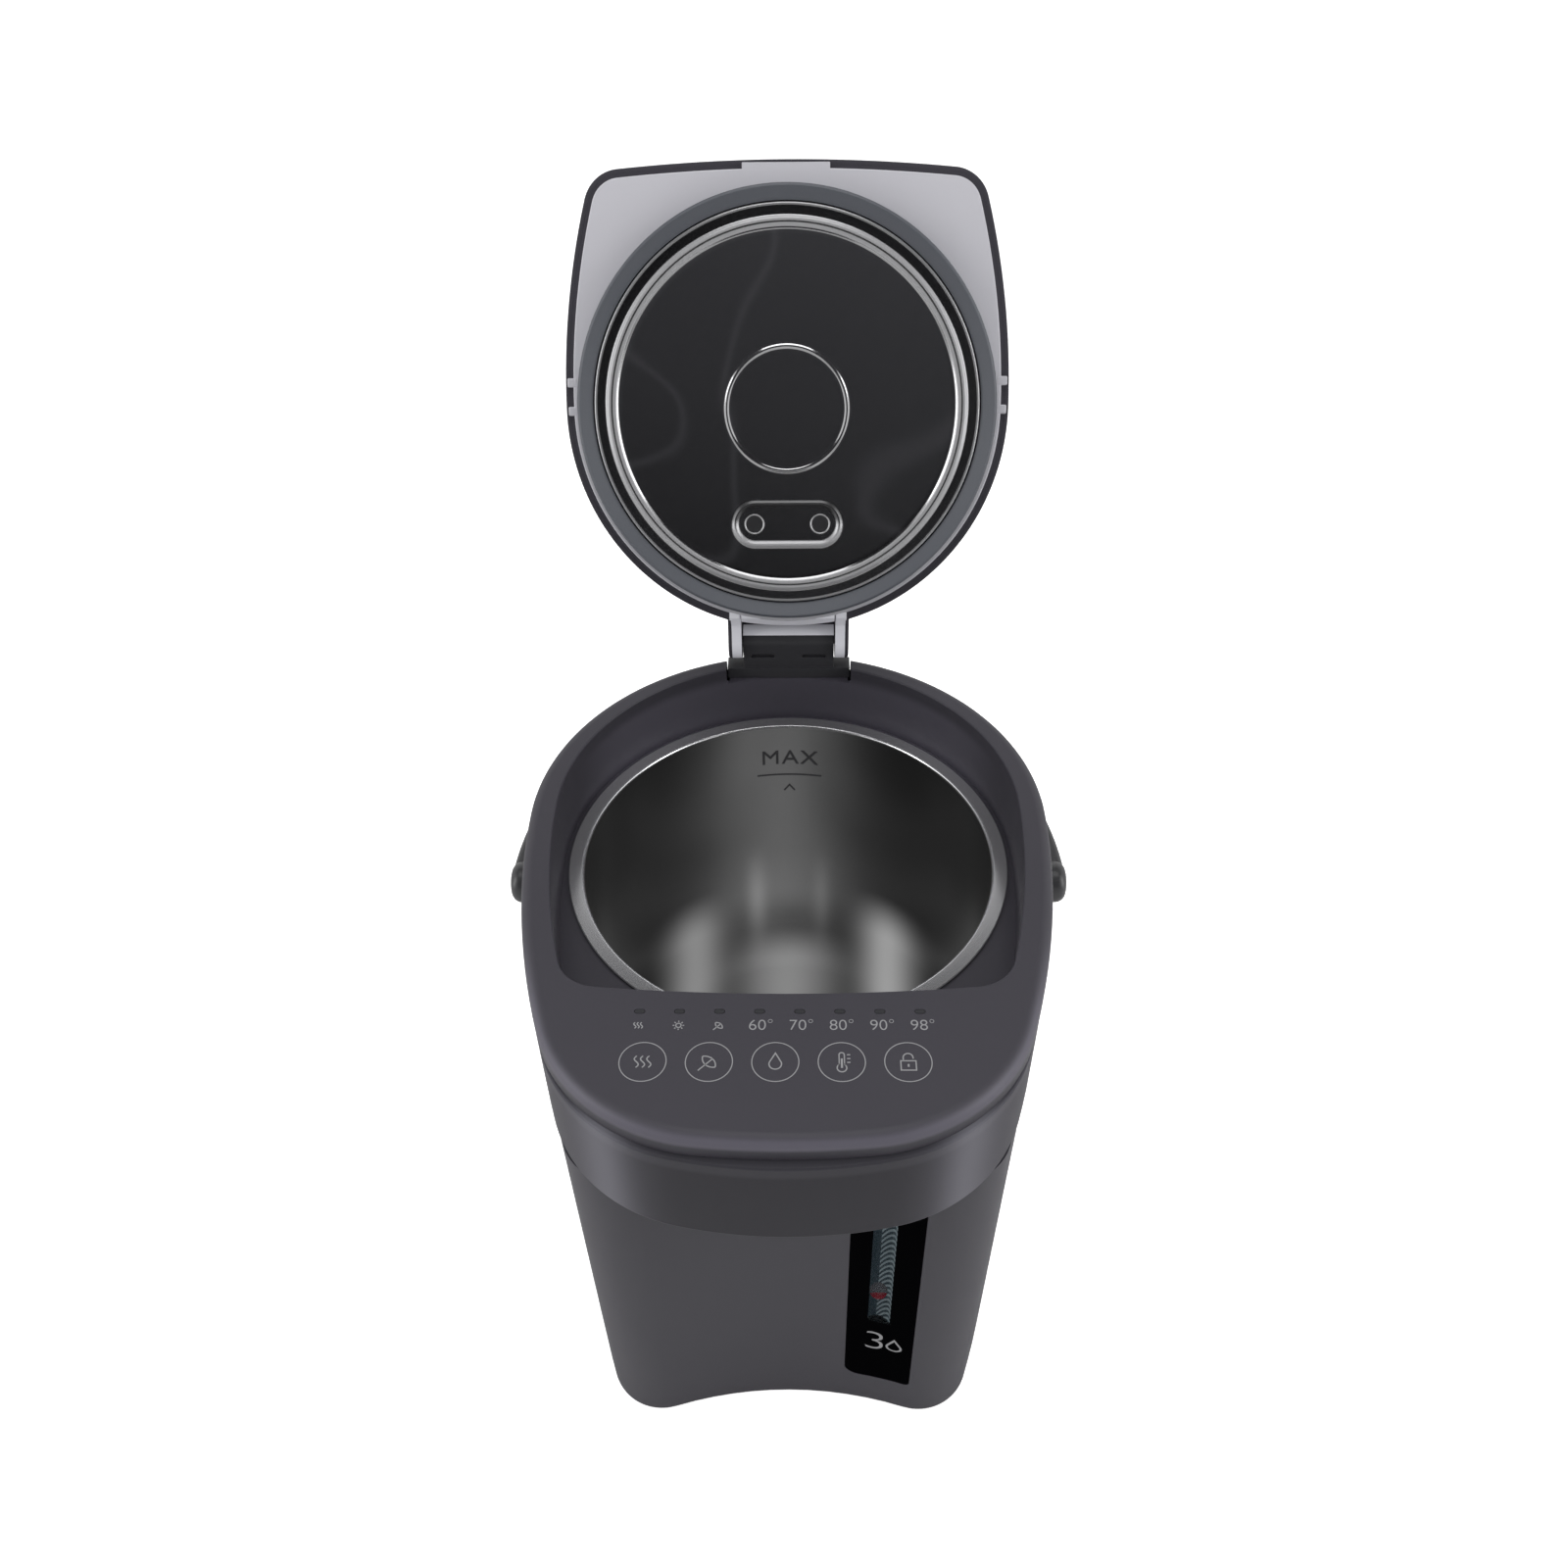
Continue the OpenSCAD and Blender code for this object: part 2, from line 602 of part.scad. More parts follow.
module gauge_tube() {
    color([0.7, 0.85, 0.9, 0.5]) translate([slot_x, -tube_y, tube_z0]) difference() {
        cylinder(h = head_z + 10 - tube_z0, r = tube_r);
        translate([0, 0, -1]) cylinder(h = 200, r = tube_bore);
    }
    // stop on which the float comes to rest
    color([0.7, 0.85, 0.9, 0.5]) translate([slot_x, -tube_y, float_z - float_h / 2 - 1.5]) difference() {
        cylinder(h = 1.5, r = tube_bore + 0.2);
        for (i = [0:3]) rotate(90 * i + 45) translate([tube_bore * 0.55, 0, -1]) cylinder(h = 4, r = 1);
    }
}
float_h = 5;
module level_float() {
    r = tube_bore - 0.35;
    color([0.8, 0.05, 0.08]) translate([slot_x, -tube_y, float_z - float_h / 2]) rotate_extrude()
        polygon([[0, 0], [r - 0.8, 0], [r, 0.8], [r, float_h - 1.6], [r - 1.4, float_h], [0, float_h]]);
}
// Hose with two moulded elbows, from the top of the gauge tube over to the spout
module spout_hose() {
    high = head_z + 20;
    r = tube_r + 1.4;
    bore = tube_bore - 0.6;
    run = [-slot_x, tube_y - spout_y];
    heading = atan2(run[1], run[0]);
    tube_foot = head_floor_z + 0.4;
    nozzle_foot = head_floor_z + 4.2;
    color([0.85, 0.85, 0.82]) difference() {
        union() {
            translate([slot_x, -tube_y, tube_foot]) cylinder(h = high - tube_foot, r = r);
            translate([slot_x, -tube_y, high]) sphere(r = r + 1.2);
            translate([slot_x, -tube_y, high]) rotate([0, 90, heading]) cylinder(h = norm(run), r = r - 1.5);
            translate([0, -spout_y, high]) sphere(r = r + 1.2);
            translate([0, -spout_y, nozzle_foot]) cylinder(h = high - nozzle_foot, r = r);
            translate([0, -spout_y, nozzle_foot]) cylinder(h = 6, r = spout_r + 4);
        }
        translate([slot_x, -tube_y, tube_foot - 1]) cylinder(h = head_z + 11 - tube_foot, r = tube_r + 0.05);
        translate([slot_x, -tube_y, tube_foot - 1]) cylinder(h = high + 1 + bore * 0.5 - tube_foot, r = bore);
        translate([slot_x, -tube_y, high]) rotate([0, 90, heading]) cylinder(h = norm(run), r = bore - 0.3);
        translate([0, -spout_y, nozzle_foot - 1])
            cylinder(h = head_z + 11.2 - nozzle_foot, r = spout_r + 2.65);
        translate([0, -spout_y, nozzle_foot - 1]) cylinder(h = high + 1 + bore * 0.5 - nozzle_foot, r = bore);
    }
}

module gauge_panel() {
    color([0.02, 0.02, 0.02]) difference() {
        intersection() {
            gauge_cut(seam, head_z - seam);
            difference() {
                loft([body_ring(half_width(0), 0.05), body_ring(half_width(cover_z), 0.05)],
                     [0, cover_z]);
                loft([body_ring(half_width(0), gauge_t), body_ring(half_width(cover_z), gauge_t)],
                     [-1, cover_z + 1]);
            }
        }
        translate([slot_x - slot_w / 2, -front_y - 30, slot_z0]) cube([slot_w, 60, deck_z]);
    }
}
module gauge_window() {
    color([0.8, 0.9, 0.95, 0.4]) intersection() {
        translate([slot_x - slot_w / 2 + 0.05, -front_y - 30, slot_z0 + 0.05])
            cube([slot_w - 0.1, 60, head_z - seam - slot_z0 - 0.05]);
        difference() {
            loft([body_ring(half_width(0), 0.15), body_ring(half_width(cover_z), 0.15)], [0, cover_z]);
            loft([body_ring(half_width(0), gauge_t), body_ring(half_width(cover_z), gauge_t)],
                 [-1, cover_z + 1]);
        }
    }
}

// ---------- electrics ----------

module control_board() {
    color([0.05, 0.3, 0.15]) difference() {
        translate([-60, -key_y - key_r - 3, board_z]) cube([117, key_y + key_r + 3 - light_y + 4, board_t]);
        for (sx = [-57.3, 54.3], sy = [-key_y - key_r + 1, -light_y]) translate([sx, sy, board_z - 1])
            cylinder(h = 10, r = 1.2);
    }
    // pillars that hold the board under the deck
    color([0.05, 0.3, 0.15]) for (sx = [-57.3, 54.3], sy = [-key_y - key_r + 1, -light_y])
        translate([sx, sy, board_z + board_t - 0.1]) tube(deck_under - board_z - board_t + 0.1, 2.4, 1.2);
}
module touch_springs() {
    color(steel) for (i = [0:4]) translate([key_x(i), -key_y, board_z + board_t])
        tube(deck_under - board_z - board_t, key_r * 0.7, key_r * 0.7 - 0.5);
}
module indicator_lights() {
    color([0.2, 0.2, 0.2]) for (i = [0:7]) translate([light_x(i), -light_y, board_z + board_t])
        linear_extrude(deck_z - board_z - board_t) stadium(light_l, light_w);
}
module power_board() {
    color([0.05, 0.3, 0.15]) difference() {
        translate([board_c[0] - board_size[0] / 2, board_c[1] - board_size[1] / 2, power_board_z])
            cube([board_size[0], board_size[1], board_t]);
        for (p = board_posts) translate([p[0], p[1], power_board_z - 1]) cylinder(h = 5, r = 1.4);
    }
}
module board_components() {
    z = power_board_z + board_t;
    color([0.1, 0.1, 0.12]) {
        translate([board_c[0] - 24, board_c[1] - 12, z]) cube([20, 24, 20]);
        translate([board_c[0] + 2, board_c[1] - 8, z]) cube([16, 16, 14]);
        for (i = [0:2]) translate([board_c[0] - 8 + 10 * i, board_c[1] + 17, z]) cylinder(h = 14, r = 4);
    }
}
inlet_w = 30;
pins = [[-7, 3], [7, 3], [0, -4]];
inlet_h = 26;
inlet_back = base_w / 2 + arc_y + 0.8;
module power_inlet() {
    w = inlet_w - 2 * seam;
    h = inlet_h - 2 * seam;
    color(dark) difference() {
        union() {
            translate([-w / 2, inlet_back - 16, cord_hole_z - h / 2]) cube([w, 16, h]);
            translate([-w / 2 - 3, inlet_back - 12, cord_hole_z - h / 2]) cube([w + 6, 3, h]);
        }
        translate([-w / 2 + 3, inlet_back - 13, cord_hole_z - h / 2 + 3]) cube([w - 6, 20, h - 6]);
        for (p = pins) translate([p[0], inlet_back - 20, cord_hole_z + p[1]]) rotate([-90, 0, 0])
            cylinder(h = 10, r = 1.62);
    }
}
module inlet_pins() {
    color(copper) for (p = pins)
        translate([p[0], inlet_back - 22, cord_hole_z + p[1]]) rotate([-90, 0, 0]) cylinder(h = 18, r = 1.6);
}
// Flat cable from the power board up to the control board, clipped along the inside of the front
module wiring_harness() {
    x0 = -34;
    w = 10;
    t = 1.4;
    z0 = power_board_z + board_t;
    y0 = board_c[1] - board_size[1] / 2 + 3;
    y1 = -head_end_y - 5;
    color([0.85, 0.85, 0.85]) across(x0, x0 + w) polygon([
        [y0, z0], [y0 + t, z0], [y0 + t, z0 + 9], [y1 + t, z0 + 9], [y1 + t, board_z],
        [y1, board_z], [y1, z0 + 9 - t], [y0, z0 + 9 - t]]);
}

// ---------- hinge and handle ----------

module hinge_block() {
    front = lid_r + lid_gap + 0.1;
    back = body_w / 2 + arc_y - 0.4;
    tower = hinge_y - block_knuckle_r;
    color(dark) difference() {
        union() {
            translate([-neck_half - 0.9, front, block_foot_z])
                cube([2 * neck_half + 1.8, back - front, foot_h]);
            translate([-block_half, tower, block_foot_z + foot_h - 1])
                cube([2 * block_half, block_knuckle_r + 0.3, hinge_z - block_foot_z - foot_h + 1]);
            rod_x(-block_half, block_half, hinge_y, hinge_z, block_knuckle_r);
        }
        rod_x(-body_w, body_w, hinge_y, hinge_z, pin_r + 0.02);
        for (x = [-12.2, 11.9]) translate([x - 5.5, tower - 3, hinge_z - 6.6]) cube([11, 5, 2]);
        for (s = [-1, 1]) translate([s * 12, hinge_screw_y, block_foot_z - 1]) cylinder(h = 6.5, r = 1.12);
    }
}
module hinge_pin() {
    color(steel) rod_x(-neck_half + 1, neck_half - 1, hinge_y, hinge_z, pin_r);
}
hinge_screw_y = (lid_r + lid_gap + tub_wall + body_w / 2 + arc_y - wall) / 2 - 0.7;
module hinge_screws() {
    color(steel) for (s = [-1, 1]) translate([s * 12, hinge_screw_y, notch_z - 4.6]) {
        cylinder(h = 1.4, r = 1.7);
        cylinder(h = 9.4, r = 1.1);
    }
}
boss_x = body_w / 2 + 0.2;
bail_in = bail_half - bail_w / 2;
module pivot_bosses() {
    color(dark) for (s = [-1, 1]) mirror([s < 0 ? 1 : 0, 0, 0]) {
        rod_x(boss_x, bail_in - 0.3, pivot_y, pivot_z, bail_end_r);
        rod_x(boss_x - 7.2, boss_x + 1, pivot_y, pivot_z, pivot_r + 2);
        rod_x(bail_in - 1, bail_half + bail_w / 2 - 1.6, pivot_y, pivot_z, pivot_r);
    }
}
module pivot_nuts() {
    color(steel) for (s = [-1, 1]) mirror([s < 0 ? 1 : 0, 0, 0]) difference() {
        rod_x(boss_x - 6.8, boss_x - 3.4, pivot_y, pivot_z, pivot_r + 4);
        rod_x(boss_x - 20, boss_x, pivot_y, pivot_z, pivot_r + 2.02);
    }
}
function bail_point(t, d) = [(bail_half + d) * cos(t), pivot_y + (bail_reach + d) * sin(t)];
module bail_handle() {
    steps = 40;
    n = steps + 1;
    half_w = bail_w / 2;
    bevel = 2;
    // section corners: offset across the bar, height
    section = [[half_w, -bail_t / 2 + bevel], [half_w, bail_t / 2 - bevel], [half_w - bevel, bail_t / 2],
               [-half_w + bevel, bail_t / 2], [-half_w, bail_t / 2 - bevel], [-half_w, -bail_t / 2 + bevel],
               [-half_w + bevel, -bail_t / 2], [half_w - bevel, -bail_t / 2]];
    m = len(section);
    points = [for (i = [0:steps]) for (q = section)
        let (p = bail_point(180 * i / steps, q[0])) [p[0], p[1], pivot_z + q[1]]];
    faces = concat([for (i = [0:steps - 1]) for (j = [0:m - 1])
        [i * m + j, i * m + (j + 1) % m, (i + 1) * m + (j + 1) % m, (i + 1) * m + j]],
        [[for (j = [m - 1:-1:0]) j]], [[for (j = [0:m - 1]) steps * m + j]]);
    color(dark) difference() {
        union() {
            polyhedron(points = points, faces = faces, convexity = 6);
            for (s = [-1, 1]) mirror([s < 0 ? 1 : 0, 0, 0])
                rod_x(bail_in, bail_half + half_w + 0.6, pivot_y, pivot_z, bail_end_r);
        }
        for (s = [-1, 1]) mirror([s < 0 ? 1 : 0, 0, 0])
            rod_x(bail_in - 5, bail_half + half_w - 1.2, pivot_y, pivot_z, pivot_r + run_fit);
    }
}

// ---------- lid, drawn closed and then opened ----------

function shrink(ring, k) = [for (p = ring) k * p];
module lid_form(inset, drop) {
    e = 6 + inset;
    top = deck_z + dome_rise - drop;
    edge = deck_z + 1.6 - drop;
    loft([lid_ring(inset), lid_ring(inset), lid_ring(inset + 1), lid_ring(inset + 2.6), lid_ring(e),
          shrink(lid_ring(e), 0.85), shrink(lid_ring(e), 0.6), shrink(lid_ring(e), 0.3)],
         [drop > 0 ? skirt_z - 5 : skirt_z, edge - 4.6, edge - 2.4, edge - 1.2, edge,
          edge + (top - edge) * 0.4, edge + (top - edge) * 0.8, top]);
}
// Side view of the lid's neck, from the lid to the knuckle
module neck_side(d) {
    union() {
        translate([hinge_y, hinge_z]) circle(r = knuckle_r - d);
        polygon([[lid_r - 11.6, skirt_z + 9 + d], [lid_r + 1.5, deck_z - 1.5 + d],
                 [hinge_y, hinge_z - knuckle_r + d], [hinge_y, hinge_z + knuckle_r - d],
                 [hinge_y - 6, hinge_z + knuckle_r - 1.4 - d],
                 [lid_r - 11.6, deck_z + 3.4 - d]]);
    }
}
module lid_cover() {
    arm_in = block_half + 0.4;
    color(slate) on_lid() difference() {
        union() {
            difference() {
                lid_form(0, 0);
                lid_form(lid_wall, lid_wall);
            }
            translate([0, vent_y, cap_seat_z - 2]) linear_extrude(3) stadium(48, 24);
            difference() {
                slab(lid_ring(0.8), skirt_z, skirt_z + 1.6);
                slab(lid_ring(3.5), skirt_z - 1, skirt_z + 3);
            }
            difference() {
                across(-neck_half, neck_half) neck_side(0);
                across(-arm_in, arm_in) union() {
                    neck_side(1.7);
                    translate([hinge_y - 44.5, 0]) square([60, deck_z]);
                    translate([hinge_y + 3.5, 200]) square([40, 100]);
                    translate([hinge_y - 8, hinge_z - 15]) square([40, 15]);
                }
                // keeps the neck out of the lid's hollow
                slab(lid_ring(lid_wall), skirt_z - 5, deck_z - 2);
            }
        }
        rod_x(-neck_half + 0.9, neck_half - 0.9, hinge_y, hinge_z, pin_r + run_fit);
        // slot in the skirt for the latch
        translate([-latch_half - 0.6, -lid_front - 5, skirt_z + 1.2]) cube([2 * latch_half + 1.2, 12, 5.6]);
        // opening for the thumb pad
        translate([-15, -94, deck_z - 8]) cube([30, 17, 20]);
        // opening and seat for the steam cap
        translate([0, vent_y, deck_z - 5]) linear_extrude(20) stadium(38, 14);
        translate([0, vent_y, cap_seat_z]) linear_extrude(20) stadium(45, 21);
        for (p = lid_screw_at) translate([p[0], p[1], 0]) cylinder(h = skirt_z + 8, r = 0.1);
    }
}
vent_y = 48;
cap_seat_z = deck_z + 2.4;
lid_screw_at = [[70, -70], [-70, -70]];
module lid_panel() {
    inset = 3.7;
    color(light_grey) on_lid() difference() {
        union() {
            slab(lid_ring(inset), panel_z, panel_z + panel_t);
            difference() {
                slab(lid_ring(inset), panel_z, panel_z + 5);
                slab(lid_ring(inset + 1.6), panel_z - 1, panel_z + 6);
                translate([-latch_half - 1, -lid_front - 5, panel_z + panel_t])
                    cube([2 * latch_half + 2, 14, 20]);
            }
            // tongue under the neck
            intersection() {
                translate([-block_half + 0.2, lid_r - 15.6, panel_z])
                    cube([2 * block_half - 0.4, 30, panel_t]);
                slab(lid_ring(0.4), panel_z, panel_z + panel_t);
            }
            // seats of the lid screws
            for (p = lid_screw_at) translate([p[0], p[1], panel_z]) cylinder(h = 12, r = 4);
            // pocket of the latch spring
            translate([-6, spring_y1, panel_z + 1]) cube([12, 9, 9]);
            // tab in front of the latch
            translate([-latch_half + 1.8, -lid_front + 1.4, panel_z]) cube([2 * latch_half - 3.6, 12, panel_t]);
            // clips on the sides
            for (s = [-1, 1], y = [-11.2, 0.6]) translate([s * (lid_r - 3.6) - 2.3, y - 1.9, panel_z - 0.1])
                cube([4.6, 3.8, 1.5]);
        }
        translate([0, vent_y, 0]) linear_extrude(deck_z) stadium(45, 18);
        for (p = lid_screw_at) translate([p[0], p[1], 0]) {
            cylinder(h = deck_z, r = 1.6);
            cylinder(h = panel_z + 1.3, r = 3);
        }
        translate([0, spring_y1 - 1, latch_z + 2]) rotate([-90, 0, 0]) cylinder(h = 7, r = 3.4);
    }
}
latch_z = skirt_z + 2.2;
// The latch is drawn in by this much
latch_in = 2.4;
spring_y0 = -78;
spring_y1 = -66;
module lid_latch() {
    color(light_grey) on_lid() translate([0, latch_in, 0]) union() {
        translate([-latch_half, -lid_front - 2.2, latch_z - 0.6]) cube([2 * latch_half, 6, 4.2]);
        translate([-latch_half + 4, -lid_front - 2.2, latch_z]) cube([2 * latch_half - 8, 15, 1.8]);
        translate([-14, -93, latch_z]) cube([28, 12, deck_z - latch_z + 2]);
        translate([-4, -82, latch_z]) cube([8, -82 < spring_y0 ? spring_y0 + 82 : 1, 4.4]);
    }
}
module latch_spring() {
    color(steel) on_lid() translate([0, spring_y0 + latch_in, latch_z + 2]) rotate([-90, 0, 0])
        tube(spring_y1 - spring_y0 + 2, 3, 2);
}
module lid_seal() {
    color(seal_blue) on_lid() rotate_extrude() polygon([
        [plate_r + 0.6, plate_z + 1.2], [pot_r - 0.2, rim_z + 0.4], [pot_r + 0.7, rim_z + 0.9],
        [pot_r + 0.9, rim_z + 4], [pot_r - 2, rim_z + 7], [pot_r - 2, panel_z - 0.05],
        [plate_r + 1.4, panel_z - 0.05], [plate_r + 1.4, rim_z + 6], [plate_r + 0.6, rim_z + 5]]);
}
module lid_plate() {
    rise = 1.2;
    bead_r = plate_r - 7.8;
    color(steel) on_lid() difference() {
        union() {
            rotate_extrude() polygon([[0, plate_z], [bead_r - 2.8, plate_z], [bead_r - 1.6, plate_z - rise],
                [bead_r + 1.8, plate_z - rise], [bead_r + 2.8, plate_z], [plate_r - 0.6, plate_z],
                [plate_r, plate_z + 0.6], [plate_r, plate_z + 5], [plate_r - plate_t, plate_z + 5],
                [plate_r - plate_t, plate_z + plate_t], [0, plate_z + plate_t]]);
            rotate_extrude() translate([25.5, plate_z]) circle(r = 1.2, $fn = 24);
            translate([0, vent_y, plate_z - 0.8]) linear_extrude(1.2) difference() {
                stadium(47, 19.4);
                stadium(43, 15.4);
            }
        }
        for (s = [-1, 1]) translate([s * 14.2, vent_y, plate_z - 5]) cylinder(h = 20, r = 4.4);
    }
}
module vent_bushes() {
    color(dark) on_lid() for (s = [-1, 1]) translate([s * 14.2, vent_y, plate_z]) difference() {
        cylinder(h = 5, r = 4.35);
        translate([0.5, -5, -1]) cube([10, 10, 5]);
        translate([0, 0, 3]) cylinder(h = 5, r = 2.4);
    }
}
module steam_duct() {
    z0 = plate_z + 5.1;
    color([0.85, 0.85, 0.85]) on_lid() difference() {
        union() {
            translate([0, vent_y, z0]) linear_extrude(panel_z + 5 - z0) stadium(44, 17);
            translate([0, vent_y, z0]) linear_extrude(cap_seat_z - 1 - z0) stadium(28, 10);
        }
        translate([0, vent_y, z0 + 1.2]) linear_extrude(panel_z + 3.6 - z0 - 1.2) stadium(41, 14);
        translate([0, vent_y, z0 + 2]) linear_extrude(60) stadium(25, 7);
        for (s = [-1, 1]) translate([s * 14.2, vent_y, z0 - 1]) cylinder(h = 4, r = 2.4);
    }
}
module steam_cap() {
    color(dark) on_lid() difference() {
        union() {
            translate([0, vent_y, cap_seat_z]) linear_extrude(2.6) stadium(44.4, 20.4);
            translate([0, vent_y, cap_seat_z - 4]) linear_extrude(5) stadium(37.4, 13.4);
        }
        translate([0, vent_y, cap_seat_z - 5]) linear_extrude(6) stadium(34.6, 11.4);
        for (i = [-3:3]) translate([i * 5 - 1, vent_y - 4, deck_z - 5]) cube([2, 8, 40]);
    }
}
module lid_insulation() {
    color([0.9, 0.9, 0.85]) on_lid() difference() {
        translate([0, 0, plate_z + plate_t + 0.5])
            cylinder(h = panel_z - plate_z - plate_t - 0.6, r = plate_r - 1.4);
        translate([0, vent_y, rim_z - 5]) linear_extrude(60) stadium(46, 19);
    }
}
module lid_screws() {
    color(steel) on_lid() for (p = lid_screw_at) translate([p[0], p[1], panel_z + 0.5]) {
        cylinder(h = 0.8, r = 2.8);
        cylinder(h = 9.9, r = 1.5);
    }
}

outer_shell();
top_cover();
spout_head();
spout_nozzle();
nozzle_seal();
bottom_cover();
base_pads();
base_screws();
inner_pot();
pot_gasket();
heat_shield();
heating_plate();
warming_band();
thermostat();
thermal_fuse();
temperature_sensor();
outlet_hose();
pump_housing();
pump_motor();
pump_impeller();
riser_hose();
gauge_tube();
level_float();
gauge_panel();
gauge_window();
spout_hose();
control_board();
touch_springs();
indicator_lights();
power_board();
board_components();
power_inlet();
inlet_pins();
wiring_harness();
hinge_block();
hinge_pin();
hinge_screws();
pivot_bosses();
pivot_nuts();
bail_handle();
lid_cover();
lid_panel();
lid_seal();
lid_plate();
vent_bushes();
steam_duct();
steam_cap();
lid_insulation();
lid_screws();
lid_latch();
latch_spring();
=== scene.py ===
import math

import bmesh
import bpy
from mathutils import Matrix, Vector


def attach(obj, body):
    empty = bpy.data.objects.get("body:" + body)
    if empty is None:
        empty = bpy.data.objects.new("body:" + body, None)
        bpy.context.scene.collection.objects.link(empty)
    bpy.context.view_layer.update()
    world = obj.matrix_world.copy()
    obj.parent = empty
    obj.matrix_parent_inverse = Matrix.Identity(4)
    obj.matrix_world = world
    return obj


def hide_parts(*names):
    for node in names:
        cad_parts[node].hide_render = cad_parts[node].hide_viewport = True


bl_info = {
    "name": "Thermo Pot",
    "version": (1, 0, 0),
    "blender": (4, 5, 0),
    "location": "View3D > Sidebar > Thermo Pot",
    "description": "Makes the finished pieces, the finishes and the stage of an electric thermo pot",
    "category": "Object",
}

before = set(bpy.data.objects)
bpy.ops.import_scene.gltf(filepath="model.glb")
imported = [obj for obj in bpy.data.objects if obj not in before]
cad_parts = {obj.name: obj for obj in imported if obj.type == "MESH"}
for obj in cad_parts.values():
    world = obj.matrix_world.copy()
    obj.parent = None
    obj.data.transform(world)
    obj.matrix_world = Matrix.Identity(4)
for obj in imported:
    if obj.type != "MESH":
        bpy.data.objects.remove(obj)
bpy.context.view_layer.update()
MM = 0.001

# Sizes of the pot in millimetres, the same as in the solid model
BODY_W, BASE_W, DECK_Z, ARC_Y, SIDE_R = 216.0, 210.0, 253.0, -1.5, 360.0
FRONT_Y, HOLLOW_R, CORNER_R, WALL, SEAM = 135.0, 181.0, 24.0, 2.2, 0.2
COVER_Z, HEAD_Z, HEAD_END = 243.0, 198.0, 105.0
DECK_FRONT, DECK_FRONT_R, DECK_CORNER_R = 164.0, 297.0, 70.0
HEAD_FRONT, HEAD_FRONT_R, HEAD_CORNER_R = 167.3, 183.0, 67.0
SPOUT_Y, SPOUT_R = 150.0, 4.0
POT_R, POT_WALL, POT_FILLET, RIM_W, RIM_Z, CUP_Z, OUTLET_Z = 88.0, 0.8, 20.0, 5.8, 222.0, 65.0, 50.0
LID_R, LID_SIDE_R, LID_FRONT, LID_FRONT_R, LID_CORNER_R = 95.6, 317.0, 99.4, 750.0, 16.0
LID_GAP, LID_WALL, SKIRT_Z, DOME = 1.2, 1.8, 237.0, 4.8
HINGE_Y, HINGE_Z, PIN_R, NECK, BLOCK, KNUCKLE = 104.5, 262.0, 2.56, 28.0, 21.2, 9.0
RECESS_Z, TUB, DECK_UNDER, NOTCH_Z, NOTCH = 220.6, 2.0, 250.5, 244.4, 29.3
PLATE_R, PLATE_Z, PANEL_Z, VENT_Y, CAP_SEAT = 81.6, 223.8, 234.6, 48.0, 255.4
PIVOT_Y, PIVOT_Z = -3.0, 209.0
GAUGE_X0, GAUGE_X1, GAUGE_Z0, SLOT_W, SLOT_X, SLOT_Z0 = 25.0, 54.0, 26.0, 9.4, 38.7, 78.0
TUBE_Y, TUBE_Z0, TUBE_R, TUBE_BORE = 129.337, 41.6, 5.6, 4.2
LID_OPEN = 116.4
VENT_X, VENT_R, OUTLET_Y = 14.2, 4.4, -45
LATCH_HALF, BAIL_HALF_SPAN, BAIL_REACH = 21, 116.7, 142.0
# Number and places of the lights and the touch keys, and how deep the marks reach into the wall
LIGHTS, LIGHT_SHIFT, LIGHT_Y, LIGHT_Z0, ICON_Y = 8, -2, -109.0, 243.7, -115.3
KEYS, KEY_SHIFT, KEY_Y = 5, -3.3, -131.0
MARK_DROP, PRINT_SINK = 31, 0.15
# Angles in degrees: edges sharper than these are rounded, or stay sharp in the shading
ROUND_FROM, SHARP_FROM, MERGE_BELOW = 32, 34, 2
OPENED = (Matrix.Translation((0, HINGE_Y, HINGE_Z)) @ Matrix.Rotation(math.radians(-LID_OPEN), 4, "X")
          @ Matrix.Translation((0, -HINGE_Y, -HINGE_Z)))


# ---------- settings ----------

def length(name, description, default, unit=MM):
    return bpy.props.FloatProperty(name=name, description=description, default=default * unit,
                                   unit="LENGTH", subtype="DISTANCE", precision=5)


def colour(name, description, default):
    return bpy.props.FloatVectorProperty(name=name, description=description, default=default,
                                         subtype="COLOR", size=3, min=0.0, max=1.0)


class ThermoPotSizes(bpy.types.PropertyGroup):
    deck_edge: length("Deck edge", "Radius of the deck's rounded outer edge", 5.0)
    recess_edge: length("Recess edge", "Radius round the mouth of the lid recess", 0.7)
    ring_radius: length("Key ring", "Radius of the printed ring round a touch key", 8.2)
    ring_line: length("Ring line", "Width of the printed rings", 0.36)
    key_pitch: length("Key pitch", "Distance between neighbouring touch keys", 23.1)
    light_pitch: length("Light pitch", "Distance between neighbouring lights", 14.4)
    ink: length("Ink", "Thickness of the printing", 0.05)
    bail_width: length("Bail width", "Width of the bail's bar", 8.6)
    bail_height: length("Bail height", "Thickness of the bail's bar", 10.0)


